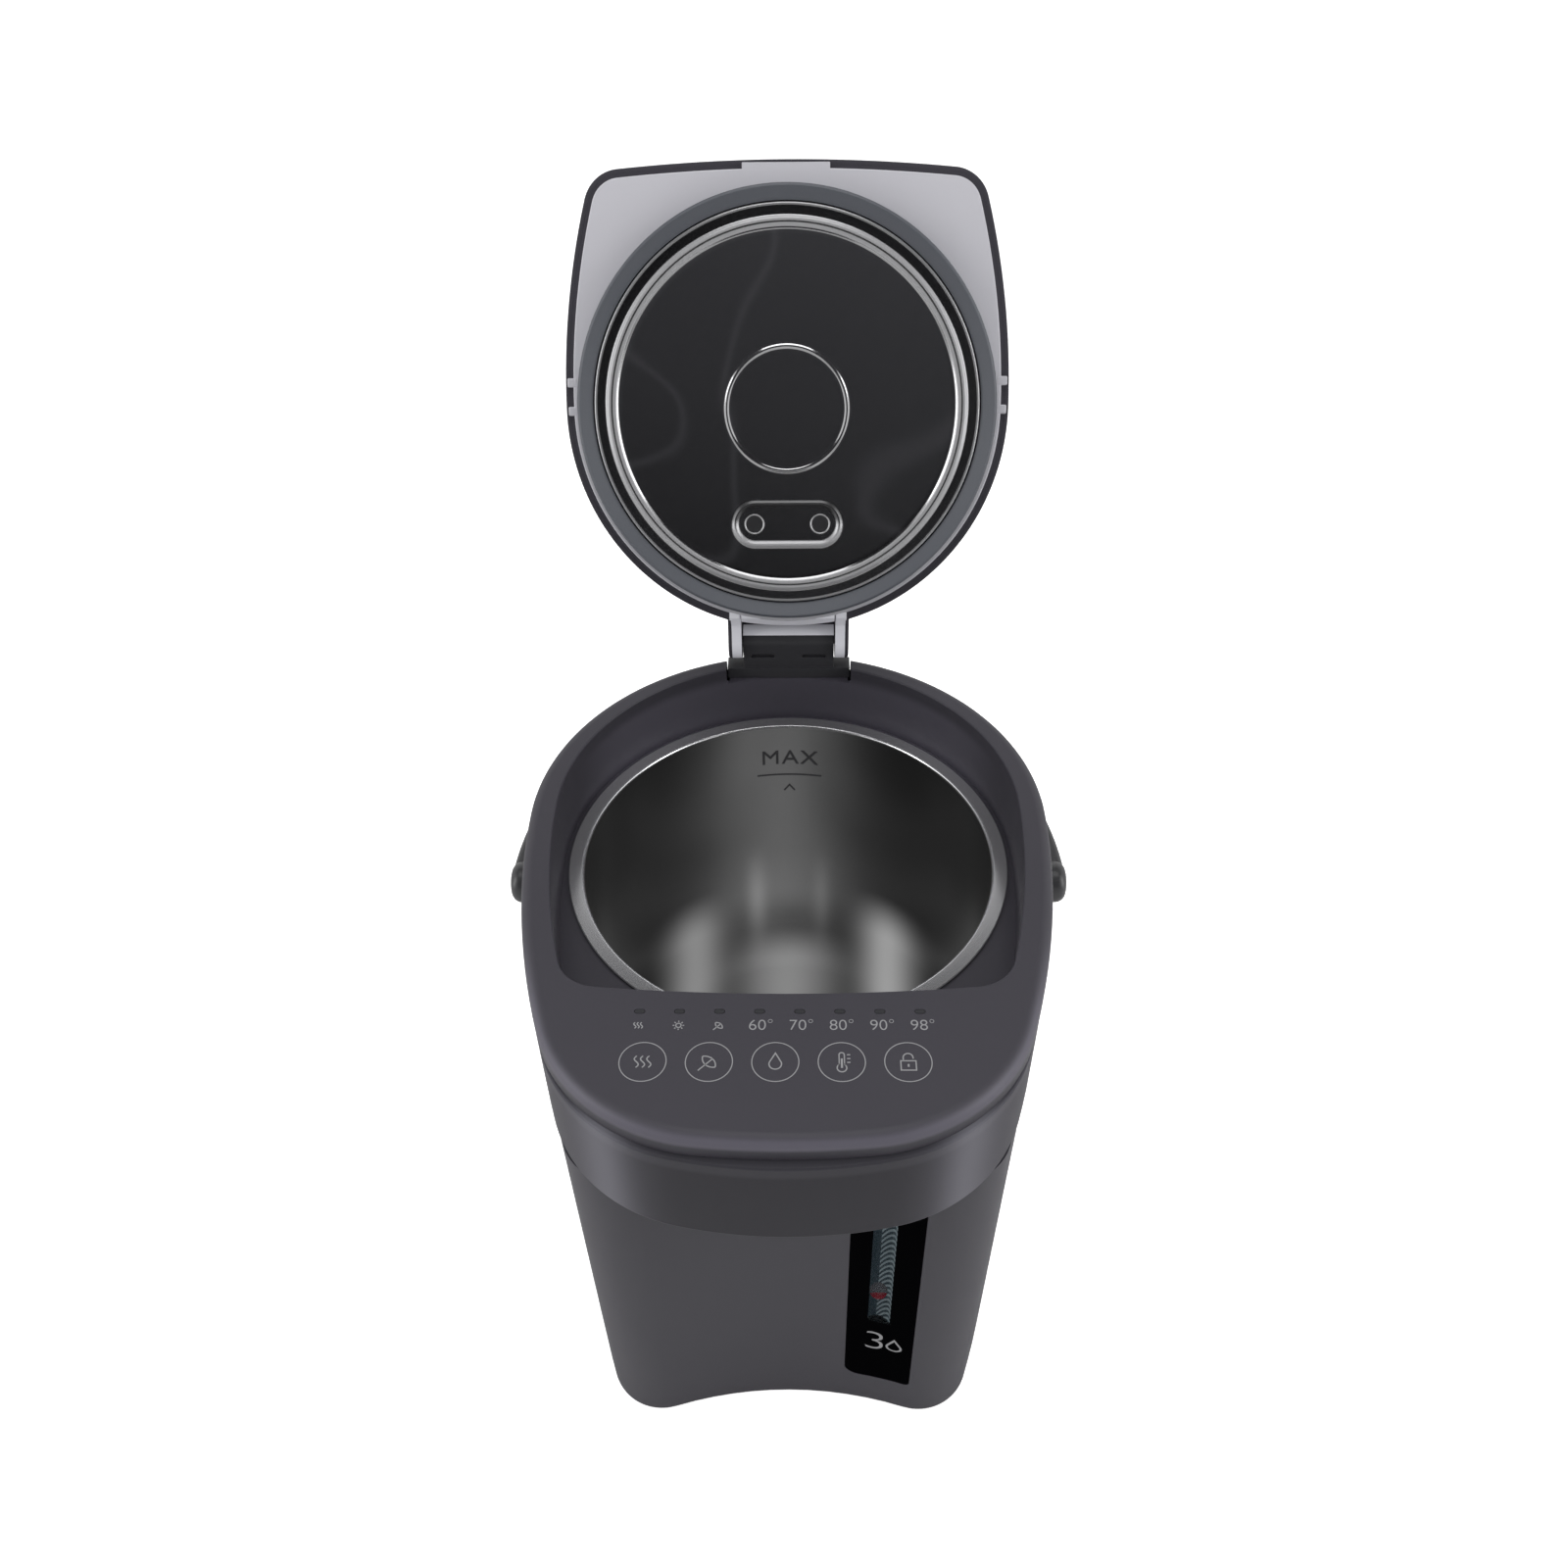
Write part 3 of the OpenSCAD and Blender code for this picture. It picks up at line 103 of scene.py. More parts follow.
class ThermoPotColours(bpy.types.PropertyGroup):
    casing: colour("Casing", "Moulded casing", (0.0415, 0.0388, 0.0495))
    bail: colour("Bail", "Carrying bail and its bosses", (0.036, 0.036, 0.039))
    dark: colour("Dark parts", "Hinge block, base and other dark mouldings", (0.038, 0.038, 0.043))
    lining: colour("Lid lining", "Light panel under the lid", (0.535, 0.53, 0.57))
    seal: colour("Lid seal", "Rubber seal of the lid", (0.082, 0.088, 0.103))
    print: colour("Printing", "Ink of the rings, icons and numbers", (0.30, 0.30, 0.31))
    gauge: colour("Gauge panel", "Gloss panel round the level gauge", (0.0018, 0.0018, 0.0022))
    float_red: colour("Float", "Float in the level gauge", (0.80, 0.006, 0.03))


# ---------- outlines ----------

def arc(c, r, a0, a1, n):
    return [(c[0] + r * math.cos(math.radians(a0 + (a1 - a0) * i / n)),
             c[1] + r * math.sin(math.radians(a0 + (a1 - a0) * i / n))) for i in range(n + 1)]


def meet(p, rp, q, rq, side):
    """Crossing of two circles, on the chosen side of the line between their centres."""
    d = math.dist(p, q)
    a = (rp * rp - rq * rq + d * d) / (2 * d)
    h = math.sqrt(rp * rp - a * a)
    u = ((q[0] - p[0]) / d, (q[1] - p[1]) / d)
    return (p[0] + a * u[0] + side * h * u[1], p[1] + a * u[1] - side * h * u[0])


def turn(p, q):
    return math.degrees(math.atan2(q[1] - p[1], q[0] - p[0]))


def whole(half):
    """Full outline from its right half, which runs from the middle of the back to the middle of the front."""
    return half[::-1] + [(-x, y) for x, y in half[1:-1]]


def bowed(w, yc, sr, cr, fy, fr, d, k=3):
    """Outline with a round back, bowed sides, round corners and a bowed front, shrunk by d."""
    s, f = (w - sr, yc), (0.0, fr - fy)
    c = meet(s, sr - cr, f, fr - cr, 1)
    a_side, a_front = turn(s, c), turn(f, c)
    return whole(arc((0, yc), w - d, 90, 0, 16 * k) + arc(s, sr - d, 0, a_side, 5 * k)[1:]
                 + arc(c, cr - d, a_side, a_front, 8 * k)[1:] + arc(f, fr - d, a_front, -90, 5 * k)[1:])


def body_ring(w, d, k=3):
    """Outline of the casing with its hollow front, half width w, shrunk by d."""
    s, hub = (w - SIDE_R, ARC_Y), (0.0, -(FRONT_Y + HOLLOW_R))
    c = meet(s, SIDE_R - CORNER_R, hub, HOLLOW_R + CORNER_R, -1)
    a_side, a_turn = turn(s, c), turn(c, hub)
    return whole(arc((0, ARC_Y), w - d, 90, 0, 16 * k) + arc(s, SIDE_R - d, 0, a_side, 5 * k)[1:]
                 + arc(c, CORNER_R - d, a_side, a_turn, 8 * k)[1:]
                 + arc(hub, HOLLOW_R + d, turn(hub, c), 90, 6 * k)[1:])


def deck_ring(d, k=3):
    return bowed(BODY_W / 2, ARC_Y, SIDE_R, DECK_CORNER_R, DECK_FRONT, DECK_FRONT_R, d, k)


def head_ring(d, k=3):
    return bowed(BODY_W / 2, ARC_Y, SIDE_R, HEAD_CORNER_R, HEAD_FRONT, HEAD_FRONT_R, d, k)


def lid_ring(d, k=3):
    return bowed(LID_R, 0.0, LID_SIDE_R, LID_CORNER_R, LID_FRONT, LID_FRONT_R, d, k)


def half_width(z):
    return (BASE_W + (BODY_W - BASE_W) * z / DECK_Z) / 2


def quarter(n):
    """Angles of a quarter turn in n steps."""
    return [math.pi / 2 * i / n for i in range(n + 1)]


def edge(r, n=5):
    """Steps of a rounded edge from wall to face: (how much to shrink by, how far above the start)."""
    return [(r * (1 - math.cos(a)), r * math.sin(a)) for a in quarter(n)]


def stadium(l, w, n=16, cx=0.0, cy=0.0):
    h = (l - w) / 2
    return ([(cx + x, cy + y) for x, y in arc((h, 0), w / 2, -90, 90, n)]
            + [(cx + x, cy + y) for x, y in arc((-h, 0), w / 2, 90, 270, n)])


# ---------- meshes, in millimetres ----------

def make(name, verts, faces):
    mesh = bpy.data.meshes.new(name)
    mesh.from_pydata([tuple(v) for v in verts], [], faces)
    ob = bpy.data.objects.new(name, mesh)
    bpy.context.scene.collection.objects.link(ob)
    return ob


def loft(name, rings, heights, closed=False):
    """Skin over rings of equal length, closed from the last ring to the first or capped at both ends."""
    n, m = len(rings[0]), len(rings)
    verts = [(x, y, z) for ring, z in zip(rings, heights) for x, y in ring]
    faces = []
    for j in range(m if closed else m - 1):
        a, b = j * n, (j + 1) % m * n
        faces += [(a + i, a + (i + 1) % n, b + (i + 1) % n, b + i) for i in range(n)]
    if not closed:
        faces += [tuple(range(n - 1, -1, -1)), tuple(range((m - 1) * n, m * n))]
    return make(name, verts, faces)


def stack(name, ring, layers):
    """Loft of one outline, each layer (how much it is shrunk by, its height)."""
    return loft(name, [ring(d) for d, _ in layers], [z for _, z in layers])


def prism(name, ring, z0, z1):
    return loft(name, [ring, ring], [z0, z1])


def tapered(name, d, over=0):
    """Block as wide as the casing, shrunk by d, that runs on by over at both ends."""
    return loft(name, [body_ring(half_width(z), d) for z in (0, COVER_Z)], [-over, COVER_Z + over])


def lathe(name, profile, n=144):
    """Closed solid turned from (radius, height) points; points on the axis become one pole."""
    verts, rows = [], []
    turns = [2 * math.pi * i / n for i in range(n)]
    for r, z in profile:
        if r < 1e-6:
            rows.append([len(verts)])
            verts.append((0.0, 0.0, z))
        else:
            rows.append(list(range(len(verts), len(verts) + n)))
            verts += [(r * math.cos(a), r * math.sin(a), z) for a in turns]
    faces = []
    for a, b in zip(rows, rows[1:] + rows[:1]):
        if len(a) == 1 and len(b) == 1:
            continue
        for i in range(n):
            j = (i + 1) % n
            if len(a) == 1:
                faces.append((a[0], b[j], b[i]))
            elif len(b) == 1:
                faces.append((a[i], a[j], b[0]))
            else:
                faces.append((a[i], a[j], b[j], b[i]))
    return tidy(make(name, verts, faces))


def box(name, x0, x1, y0, y1, z0, z1):
    return prism(name, [(x0, y0), (x1, y0), (x1, y1), (x0, y1)], z0, z1)


def across(name, ring, x0, x1):
    """Prism that stands across X, from an outline in (y, z)."""
    ob = prism(name, ring, x0, x1)
    ob.data.transform(Matrix(((0, 0, 1, 0), (1, 0, 0, 0), (0, 1, 0, 0), (0, 0, 0, 1))))
    return ob


def rod(name, x0, x1, y, z, r, n=64):
    return across(name, arc((y, z), r, 0, 360, n)[:-1], x0, x1)


def drum(name, x, y, z0, z1, r, n=64):
    return prism(name, arc((x, y), r, 0, 360, n)[:-1], z0, z1)


def tidy(ob, merge=1e-4):
    bm = bmesh.new()
    bm.from_mesh(ob.data)
    bmesh.ops.remove_doubles(bm, verts=bm.verts, dist=merge)
    bmesh.ops.recalc_face_normals(bm, faces=bm.faces)
    bm.to_mesh(ob.data)
    bm.free()
    return ob


def settle(ob):
    """Turns the object's modifiers into plain mesh."""
    graph = bpy.context.evaluated_depsgraph_get()
    mesh = bpy.data.meshes.new_from_object(ob.evaluated_get(graph), preserve_all_data_layers=True,
                                           depsgraph=graph)
    ob.modifiers.clear()
    old, ob.data = ob.data, mesh
    bpy.data.meshes.remove(old)
    return ob


def combine(ob, other, how="DIFFERENCE"):
    """Cuts, joins or crosses two closed meshes, and removes the second."""
    volume = len(ob.data.vertices)
    mod = ob.modifiers.new("combine", "BOOLEAN")
    mod.operation, mod.object, mod.solver = how, other, "MANIFOLD"
    graph = bpy.context.evaluated_depsgraph_get()
    if len(ob.evaluated_get(graph).data.vertices) in (0, volume):
        mod.solver = "EXACT"
    settle(ob)
    if not len(ob.data.vertices):
        raise RuntimeError(f"nothing was left of {ob.name} after {other.name}")
    bpy.data.objects.remove(other)
    return ob


def soften(ob, width, segments=2):
    mod = ob.modifiers.new("soften", "BEVEL")
    mod.width, mod.segments, mod.limit_method = width, segments, "ANGLE"
    mod.angle_limit, mod.use_clamp_overlap, mod.miter_outer = math.radians(ROUND_FROM), True, "MITER_ARC"
    return settle(ob)


def finished(ob, look, body, nodes=(), lid=False, scale=MM, weighted=True):
    """Puts a piece made in millimetres in its place, shades it, hangs it on its body's empty and hides the
    CAD nodes that it replaces.
    """
    tidy(ob, 1e-4 if scale == MM else 1e-7)
    place = Matrix.Scale(scale, 4)
    if lid:
        place = place @ OPENED
    ob.data.transform(place)
    ob.data.materials.clear()
    ob.data.materials.append(finish(look))
    for p in ob.data.polygons:
        p.use_smooth = True
        p.material_index = 0
    ob.data.set_sharp_from_angle(angle=math.radians(SHARP_FROM))
    if weighted:
        mod = ob.modifiers.new("normals", "WEIGHTED_NORMAL")
        mod.keep_sharp, mod.mode, mod.weight = True, "FACE_AREA", 50
        settle(ob)
    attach(ob, body)
    if nodes:
        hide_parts(*nodes)
    return ob


def refined(node, name, look, body, width, segments=2):
    """Finished copy of a CAD node, with its flat faces merged and its edges softened."""
    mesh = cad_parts[node].data.copy()
    ob = bpy.data.objects.new(name, mesh)
    bpy.context.scene.collection.objects.link(ob)
    bm = bmesh.new()
    bm.from_mesh(mesh)
    bmesh.ops.remove_doubles(bm, verts=bm.verts, dist=1e-6)
    bmesh.ops.dissolve_limit(bm, angle_limit=math.radians(MERGE_BELOW), verts=bm.verts, edges=bm.edges)
    bm.to_mesh(mesh)
    bm.free()
    if mesh.has_custom_normals:
        mesh.normals_split_custom_set([(0, 0, 0)] * len(mesh.loops))
    soften(ob, width * MM, segments)
    return finished(ob, look, body, [node], scale=1.0)


# ---------- nodes ----------

class Signal:
    """Output of a node, which sums and products can use like a number."""

    def __init__(self, wiring, socket):
        self.wiring, self.socket = wiring, socket

    def __add__(self, other):
        return self.wiring.math("ADD", self, other)

    def __sub__(self, other):
        return self.wiring.math("SUBTRACT", self, other)

    def __rsub__(self, other):
        return self.wiring.math("SUBTRACT", other, self)

    def __mul__(self, other):
        return self.wiring.math("MULTIPLY", self, other)

    def __truediv__(self, other):
        return self.wiring.math("DIVIDE", self, other)

    def __abs__(self):
        return self.wiring.math("ABSOLUTE", self)

    def over(self, level):
        return self.wiring.math("GREATER_THAN", self, level)

    def under(self, level):
        return self.wiring.math("LESS_THAN", self, level)

    __radd__, __rmul__ = __add__, __mul__


class Wiring:
    """Short hand for adding and joining the nodes of one tree."""

    def __init__(self, tree):
        self.tree, self.x = tree, 0

    def add(self, kind, inputs=None, **settings):
        node = self.tree.nodes.new(kind)
        self.x += 180
        node.location = (self.x, 0)
        for key, value in settings.items():
            setattr(node, key, value)
        self.feed(node, inputs or {})
        return node

    def feed(self, node, values):
        """Joins each socket that is named to its signal, or gives it its plain value."""
        for key, value in values.items():
            if isinstance(value, Signal):
                self.tree.links.new(value.socket, node.inputs[key])
            else:
                node.inputs[key].default_value = value

    def paint(self, values):
        self.feed(self.shader, values)

    def out(self, kind, inputs=None, output=0, **settings):
        return Signal(self, self.add(kind, inputs, **settings).outputs[output])

    def outs(self, kind, inputs=None, **settings):
        return {socket.name: Signal(self, socket) for socket in self.add(kind, inputs, **settings).outputs}

    def math(self, operation, a, b=0.0, clamp=False):
        return self.out("ShaderNodeMath", {0: a, 1: b}, operation=operation, use_clamp=clamp)

    def vector(self, x=0.0, y=0.0, z=0.0):
        return self.out("ShaderNodeCombineXYZ", {0: x, 1: y, 2: z})

    def parts(self, vector):
        return self.outs("ShaderNodeSeparateXYZ", {0: vector}).values()

    def scale(self, colour, factor):
        return self.out("ShaderNodeVectorMath", {0: colour, 3: factor}, operation="SCALE")

    def mix(self, factor, a, b):
        return self.out("ShaderNodeMix", {0: factor, 6: a, 7: b}, 2, data_type="RGBA")

    def noise(self, scale, detail=2.0, place=None, **inputs):
        values = {"Vector": place or self.place, "Scale": scale, "Detail": detail}
        return self.out("ShaderNodeTexNoise", {**values, **inputs})

    def ramp(self, value, start, end, low=0.0, high=1.0, kind="LINEAR"):
        """From low at the start to high at the end, and level outside them."""
        return self.out("ShaderNodeMapRange", {0: value, 1: start, 2: end, 3: low, 4: high},
                        interpolation_type=kind)

    def above(self, value, at, soft):
        """1 where the value is higher, fading to 0 over soft on both sides."""
        return self.ramp(value, at - soft, at + soft, kind="SMOOTHSTEP")

    def below(self, value, at, soft):
        return 1.0 - self.above(value, at, soft)

    def band(self, value, low, high, soft):
        """1 between low and high, fading over soft on both sides."""
        return self.above(value, low, soft) - self.above(value, high, soft)

    def bell(self, value, middle, width):
        """1 at the middle, falling away over the width."""
        off = (value - middle) / width
        return self.math("EXPONENT", off * off * -1.0)

    def span(self, a, b):
        """Length of the vector (a, b)."""
        return self.math("SQRT", a * a + b * b)

    def glow(self, light, blue=None):
        """Painted light: a faint glow of the surface itself, which stays where it is when the lamps change.
        """
        self.paint({"Emission Color": self.vector(light, light, light * blue if blue else light),
                    "Emission Strength": 1.0})

    def relief(self, height, strength, depth=0.0002):
        bumped = self.out("ShaderNodeBump", {"Height": height, "Strength": strength, "Distance": depth})
        self.paint({"Normal": bumped})


def new_tree(kind, name, inputs, outputs):
    """Empty node group. Each input is (type, name, default), each output (type, name)."""
    tree = bpy.data.node_groups.new(name, kind)
    for socket_type, label, default in inputs:
        socket = tree.interface.new_socket(label, in_out="INPUT", socket_type="NodeSocket" + socket_type)
        if default is not None:
            socket.default_value = default
    for socket_type, label in outputs:
        tree.interface.new_socket(label, in_out="OUTPUT", socket_type="NodeSocket" + socket_type)
    w = Wiring(tree)
    w.given = w.outs("NodeGroupInput")
    w.sink = w.add("NodeGroupOutput")
    return w


# ---------- shader groups ----------

def surface_group(name, inputs):
    w = new_tree("ShaderNodeTree", name, [("Vector", "Vector", None), *inputs],
                 [("Color", "Colour"), ("Float", "Roughness"), ("Float", "Height")])
    w.place = w.given["Vector"]
    return w


def surface(w, tone, gloss, height):
    """Ends a surface group with its colour times the tone, its roughness and the height of its relief."""
    roughness = w.math("ADD", w.given["Roughness"], gloss * w.given["Gloss Drift"], True)
    w.feed(w.sink, {"Colour": w.scale(w.given["Colour"], tone), "Roughness": roughness, "Height": height})
    return w.tree


def moulded_grain():
    """Fine spark texture of a moulded part, with slow drifts of tone and gloss."""
    w = surface_group("Moulded Grain", [
        ("Color", "Colour", (0.1, 0.1, 0.1, 1)), ("Float", "Grain Size", 2400.0),
        ("Float", "Tone Drift", 0.06), ("Float", "Roughness", 0.5), ("Float", "Gloss Drift", 0.05)])
    fine = w.noise(w.given["Grain Size"])
    slow = w.noise(22.0, 3.0) - 0.5
    drift = w.given["Tone Drift"]
    return surface(w, 1.0 + (slow * drift + (fine - 0.5) * (drift * 1.6)), slow, fine)


def drawn_steel():
    """Streaks of drawn or turned steel, long one way and fine the other."""
    w = surface_group("Drawn Steel", [
        ("Color", "Colour", (0.6, 0.6, 0.6, 1)), ("Float", "Across", 60.0), ("Float", "Along", 3.0),
        ("Float", "Outwards", 0.0), ("Float", "Contrast", 0.2), ("Float", "Roughness", 0.25),
        ("Float", "Gloss Drift", 0.15)])
    x, y, z = w.parts(w.place)
    wound = w.vector(w.math("ARCTAN2", y, x) * w.given["Across"], z * w.given["Along"],
                     w.span(x, y) * w.given["Outwards"])
    streak = w.noise(1.0, 4.0, wound, Roughness=0.6)
    level = streak * 0.7 + w.noise(14.0) * 0.3 - 0.5
    return surface(w, 1.0 + level * w.given["Contrast"], level, streak)


GROUPS = {}


def new_material(name, **sockets):
    """Wiring of a new material, its shader's sockets set by name with _ for each space."""
    material = bpy.data.materials.new(name)
    material.use_nodes = True
    w = Wiring(material.node_tree)
    w.material, w.shader = material, material.node_tree.nodes["Principled BSDF"]
    w.paint({key.replace("_", " "): value for key, value in sockets.items()})
    w.place = w.out("ShaderNodeTexCoord", output="Object")
    return w


def covered(w, build, place, bump, values):
    """Feeds the shader from a surface group, built the first time, and returns the group's outputs."""
    if build not in GROUPS:
        GROUPS[build] = build()
    made = w.outs("ShaderNodeGroup", {"Vector": place, **values}, node_tree=GROUPS[build])
    w.paint({"Base Color": made["Colour"], "Roughness": made["Roughness"]})
    w.relief(made["Height"], bump)
    return made


def plastic(name, tone, roughness, grain=2400.0, bump=0.12, drift=0.06, gloss=0.05, shade=None, **sockets):
    """Moulded plastic or rubber. Shade gives, from the place, a factor for the tone and a faint glow: painted
    shade and painted light.
    """
    w = new_material(name, **sockets)
    made = covered(w, moulded_grain, w.place, bump, {
        "Colour": (*tone, 1), "Grain Size": grain, "Tone Drift": drift, "Roughness": roughness,
        "Gloss Drift": gloss})
    if shade:
        factor, light = shade(w, *w.parts(w.place))
        w.paint({"Base Color": w.scale(made["Colour"], factor)})
        w.glow(light, 1.12)
    return w.material


def steel(name, tone, roughness, across, along, outwards=0.0, contrast=0.2, gloss=0.12, bump=0.04,
          centre=(0, 0, 0), tilt=0.0, touch=None, **sockets):
    """Drawn, turned or polished steel. Centre and tilt set the axis that its streaks follow."""
    w = new_material(name, Metallic=1.0, **sockets)
    back = (Matrix.Translation(centre) @ Matrix.Rotation(tilt, 4, "X")).inverted()
    mapped = w.out("ShaderNodeMapping", {
        "Vector": w.place, "Location": back.to_translation(), "Rotation": back.to_euler()})
    made = covered(w, drawn_steel, mapped, bump, {
        "Colour": (*tone, 1), "Across": across, "Along": along, "Outwards": outwards, "Contrast": contrast,
        "Roughness": roughness, "Gloss Drift": gloss})
    # Touch paints light, shade and reflections onto the colour, roughness and glow, by the place on the
    # piece.
    if touch:
        touch(w, *w.parts(mapped), made["Colour"], made["Roughness"])
    return w.material


# ---------- painted light, shade and reflections by the place on a piece, with some changes of finish, in metres ---

def head_shade(w, x, y, z):
    """Painted shade in the middle of the head, and painted highlights that glow down each of its front
    corners and along its top.
    """
    middle, side, corner, corner_width, front, top = 0.034, 0.062, 0.0640, 0.0095, -0.125, 0.2375
    off = abs(x)
    factor = w.ramp(off, middle, side, 0.58, 1.0, "SMOOTHSTEP")
    # Painted highlights glow down the corners; the glow along the top is painted light against the shadow
    # under the deck's lip.
    corners = w.bell(off, corner, corner_width) * w.below(y, front, 0.02)
    return factor, corners * 0.075 + w.above(z, top, 0.0015) * 0.012


def deck_shade(w, x, y, z):
    """Painted highlight along the deck's rounded front edge, and painted light on the recess's back wall."""
    edge_low, edge_high, front, wall, wall_top = 0.2485, 0.2522, -0.09, 0.045, 0.246
    painted_edge_highlight = w.band(z, edge_low, edge_high, 0.0010) * w.below(y, front, 0.03)
    # The recess's back wall lies in shade; this term paints light onto it.
    back = w.above(y, wall, 0.02) * w.below(z, wall_top, 0.003)
    return 1.0 + painted_edge_highlight * 1.3 + back * 0.9, painted_edge_highlight * 0.008


def float_shade(w, x, y, z):
    """Only the float's front rim keeps its bright red; its top is painted dark as shade, with a faint painted
    glow for the light that comes through the tube.
    """
    rim = 0.0012
    # Painted shade on all but the front rim, with a faint painted glow.
    shaded_top = 1.0 - (y + TUBE_Y * MM).under(-rim)
    return 1.0 - shaded_top * 0.97, shaded_top * 0.03


def pot_painted_reflections(w, x, y, z, tone, roughness):
    """Painted reflections: the wall brightest at its back and front, a soft glow either side of the bottom,
    painted streaks and haze, painted shade on the bowl, and a smooth flange that glows faintly.
    """
    flange_z, bore, bowl_z, low_z, base_z = 0.2208, 0.0882, (0.030, 0.092), 0.102, 0.071
    side_x, painted_streak_xs, painted_streak_z, spot_z = 0.052, (-0.0180, 0.0165), (0.080, 0.125), (0.078, 0.100)
    out, off = w.span(x, y), abs(x)
    # The wall's tone by its angle round the axis is a painted reflection, bright at back and front and dark
    # at the sides; the bowl band paints shade.
    reflection_lobe = w.bell(x / w.math("MAXIMUM", out, 0.001), -0.08, 0.38)
    bowl = w.band(z, *bowl_z, 0.018)
    wall = (reflection_lobe * 0.52 + 0.12) * (1.0 - bowl * 0.45)
    flange = z.over(flange_z)
    w.paint({"Base Color": w.mix(flange, w.scale(tone, wall), (0.70, 0.70, 0.72, 1)),
             "Roughness": roughness - flange * 0.08 + bowl * 0.35})
    # The glows below are painted reflections: glows either side of the bottom and in its middle, a soft haze,
    # two streaks and a darker spot.
    sides = w.bell(off, side_x, 0.013) * w.below(z, low_z, 0.018) * w.ramp(x, -0.05, 0.05, 0.22, 0.31)
    middle = w.bell(off, 0.0, 0.024) * w.below(z, base_z, 0.009) * 0.15
    soft = (reflection_lobe * 0.050 + 0.005) * (w.noise(26.0, 1.0) * 0.5 + 0.75)
    pair = w.bell(x, painted_streak_xs[0], 0.0050) + w.bell(x, painted_streak_xs[1], 0.0045) * 0.5
    streak = pair * w.band(z, *painted_streak_z, 0.022) * 0.085
    spot = w.bell(off, 0.0, 0.011) * w.band(z, *spot_z, 0.014)
    light = (soft + streak + sides + middle) * (1.0 - spot * 0.4)
    w.glow(light * ((1.0 - flange) * out.under(bore)) + flange * 0.035)


def plate_finish_and_painted_light(w, x, y, z, tone, roughness):
    """Rim, bead and the lower half of the oblong emboss duller and brighter than the polished field: partly a
    matt finish, partly painted highlights. Painted shade dims the field and the oblong's upper half, the
    round emboss gets a painted highlight, a painted dark line runs along the bead's crest, and a painted haze
    with wisps glows over the field.
    """
    edge_r, crease_r, bead_r = (0.0803, 0.0830), (0.0736, 0.0743), (0.0720, 0.0766)
    hub_r, oblong_r, oblong_x, field_r = (0.0238, 0.0272), (0.0070, 0.0104), 0.0138, 0.0716
    out, up = w.span(x, y), y - VENT_Y * MM
    # The bright bands are painted highlights on a duller finish; the crease term paints a dark reflection
    # line along the bead.
    bead = w.band(out, *bead_r, 0.0003) * (1.0 - w.band(out, *crease_r, 0.0002) * 0.9)
    oblong = w.band(w.span(w.math("MAXIMUM", abs(x) - oblong_x, 0.0), up), *oblong_r, 0.0003)
    lower = w.above(up, 0.001, 0.004)
    upper = oblong * (1.0 - lower)
    rim = w.band(out, *edge_r, 0.0002) * 0.6
    satin_highlight = w.math("MAXIMUM", w.math("MAXIMUM", rim, bead), oblong * lower, True)
    # This factor paints shade on the field and the oblong's upper half, and a highlight on the round emboss.
    painted_light_factor = 0.5 + w.band(out, *hub_r, 0.0002) * 0.15 - upper * 0.36
    w.paint({"Base Color": w.mix(satin_highlight, w.scale(tone, painted_light_factor), (0.38, 0.38, 0.39, 1)),
             "Metallic": 1.0 - satin_highlight * 0.75, "Roughness": roughness + (satin_highlight * 0.22 + upper * 0.25)})
    # Painted haze and wisps of reflection glowing over the field.
    painted_wisp = w.bell(w.noise(9.0, 1.0, Distortion=0.8), 0.57, 0.016) * 0.009
    w.glow((w.ramp(y, 0.065, -0.07, 0.0, 0.022) + painted_wisp) * out.under(field_r), 1.1)


def vent_painted_highlight(w, x, y, z, tone, roughness):
    """Painted highlight: a fine bright ring round each steam vent, which also glows faintly."""
    ring_r, line = 0.0040, 0.00028
    ring = w.bell(w.span(abs(x) - VENT_X * MM, y - VENT_Y * MM), ring_r, line)
    w.paint({"Base Color": w.mix(ring, tone, (0.45, 0.45, 0.46, 1))})
    w.glow(ring * 0.12)


def striped_film(c):
    """Backing film of the gauge: plain on the left half, slanted stripes on the right half. It glows with its
    own colour as painted light, which stands in for the light that reaches it behind the tube.
    """
    w = new_material("Gauge Film", Roughness=0.35)
    x, _, z = w.parts(w.place)
    stripe = w.math("SINE", z * 1500.0 - x * 3200.0).over(0.1) * x.over(SLOT_X * MM + 0.0004)
    plain = w.mix(w.noise(160.0), (0.012, 0.021, 0.029, 1), (0.021, 0.034, 0.044, 1))
    tone = w.mix(stripe, plain, (0.25, 0.30, 0.32, 1))
    # The emission is painted light, so the film shows though little light reaches it.
    w.paint({"Base Color": tone, "Emission Color": tone, "Emission Strength": 0.5})
    return w.material


def board_green(c):
    """Solder mask over copper tracks."""
    w = new_material("Board", Roughness=0.35)
    tone, height = w.outs("ShaderNodeTexBrick", {
        "Vector": w.place, "Scale": 220.0, "Mortar Size": 0.012, "Mortar": (0.09, 0.20, 0.07, 1),
        "Color1": (0.015, 0.11, 0.045, 1), "Color2": (0.02, 0.14, 0.055, 1)}).values()
    w.paint({"Base Color": tone})
    w.relief(height, 0.1, 0.0001)
    return w.material


def clear(name, tone, alpha, roughness, **sockets):
    """Clear plastic that lets light through to what stands behind it."""
    w = new_material(name, Alpha=alpha, Roughness=roughness, IOR=1.45, **sockets)
    hazy = [min(1.0, v * 1.15) for v in tone]
    w.paint({"Base Color": w.mix(w.noise(90.0), (*tone, 1), (*hazy, 1))})
    return w.material


# ---------- finishes ----------

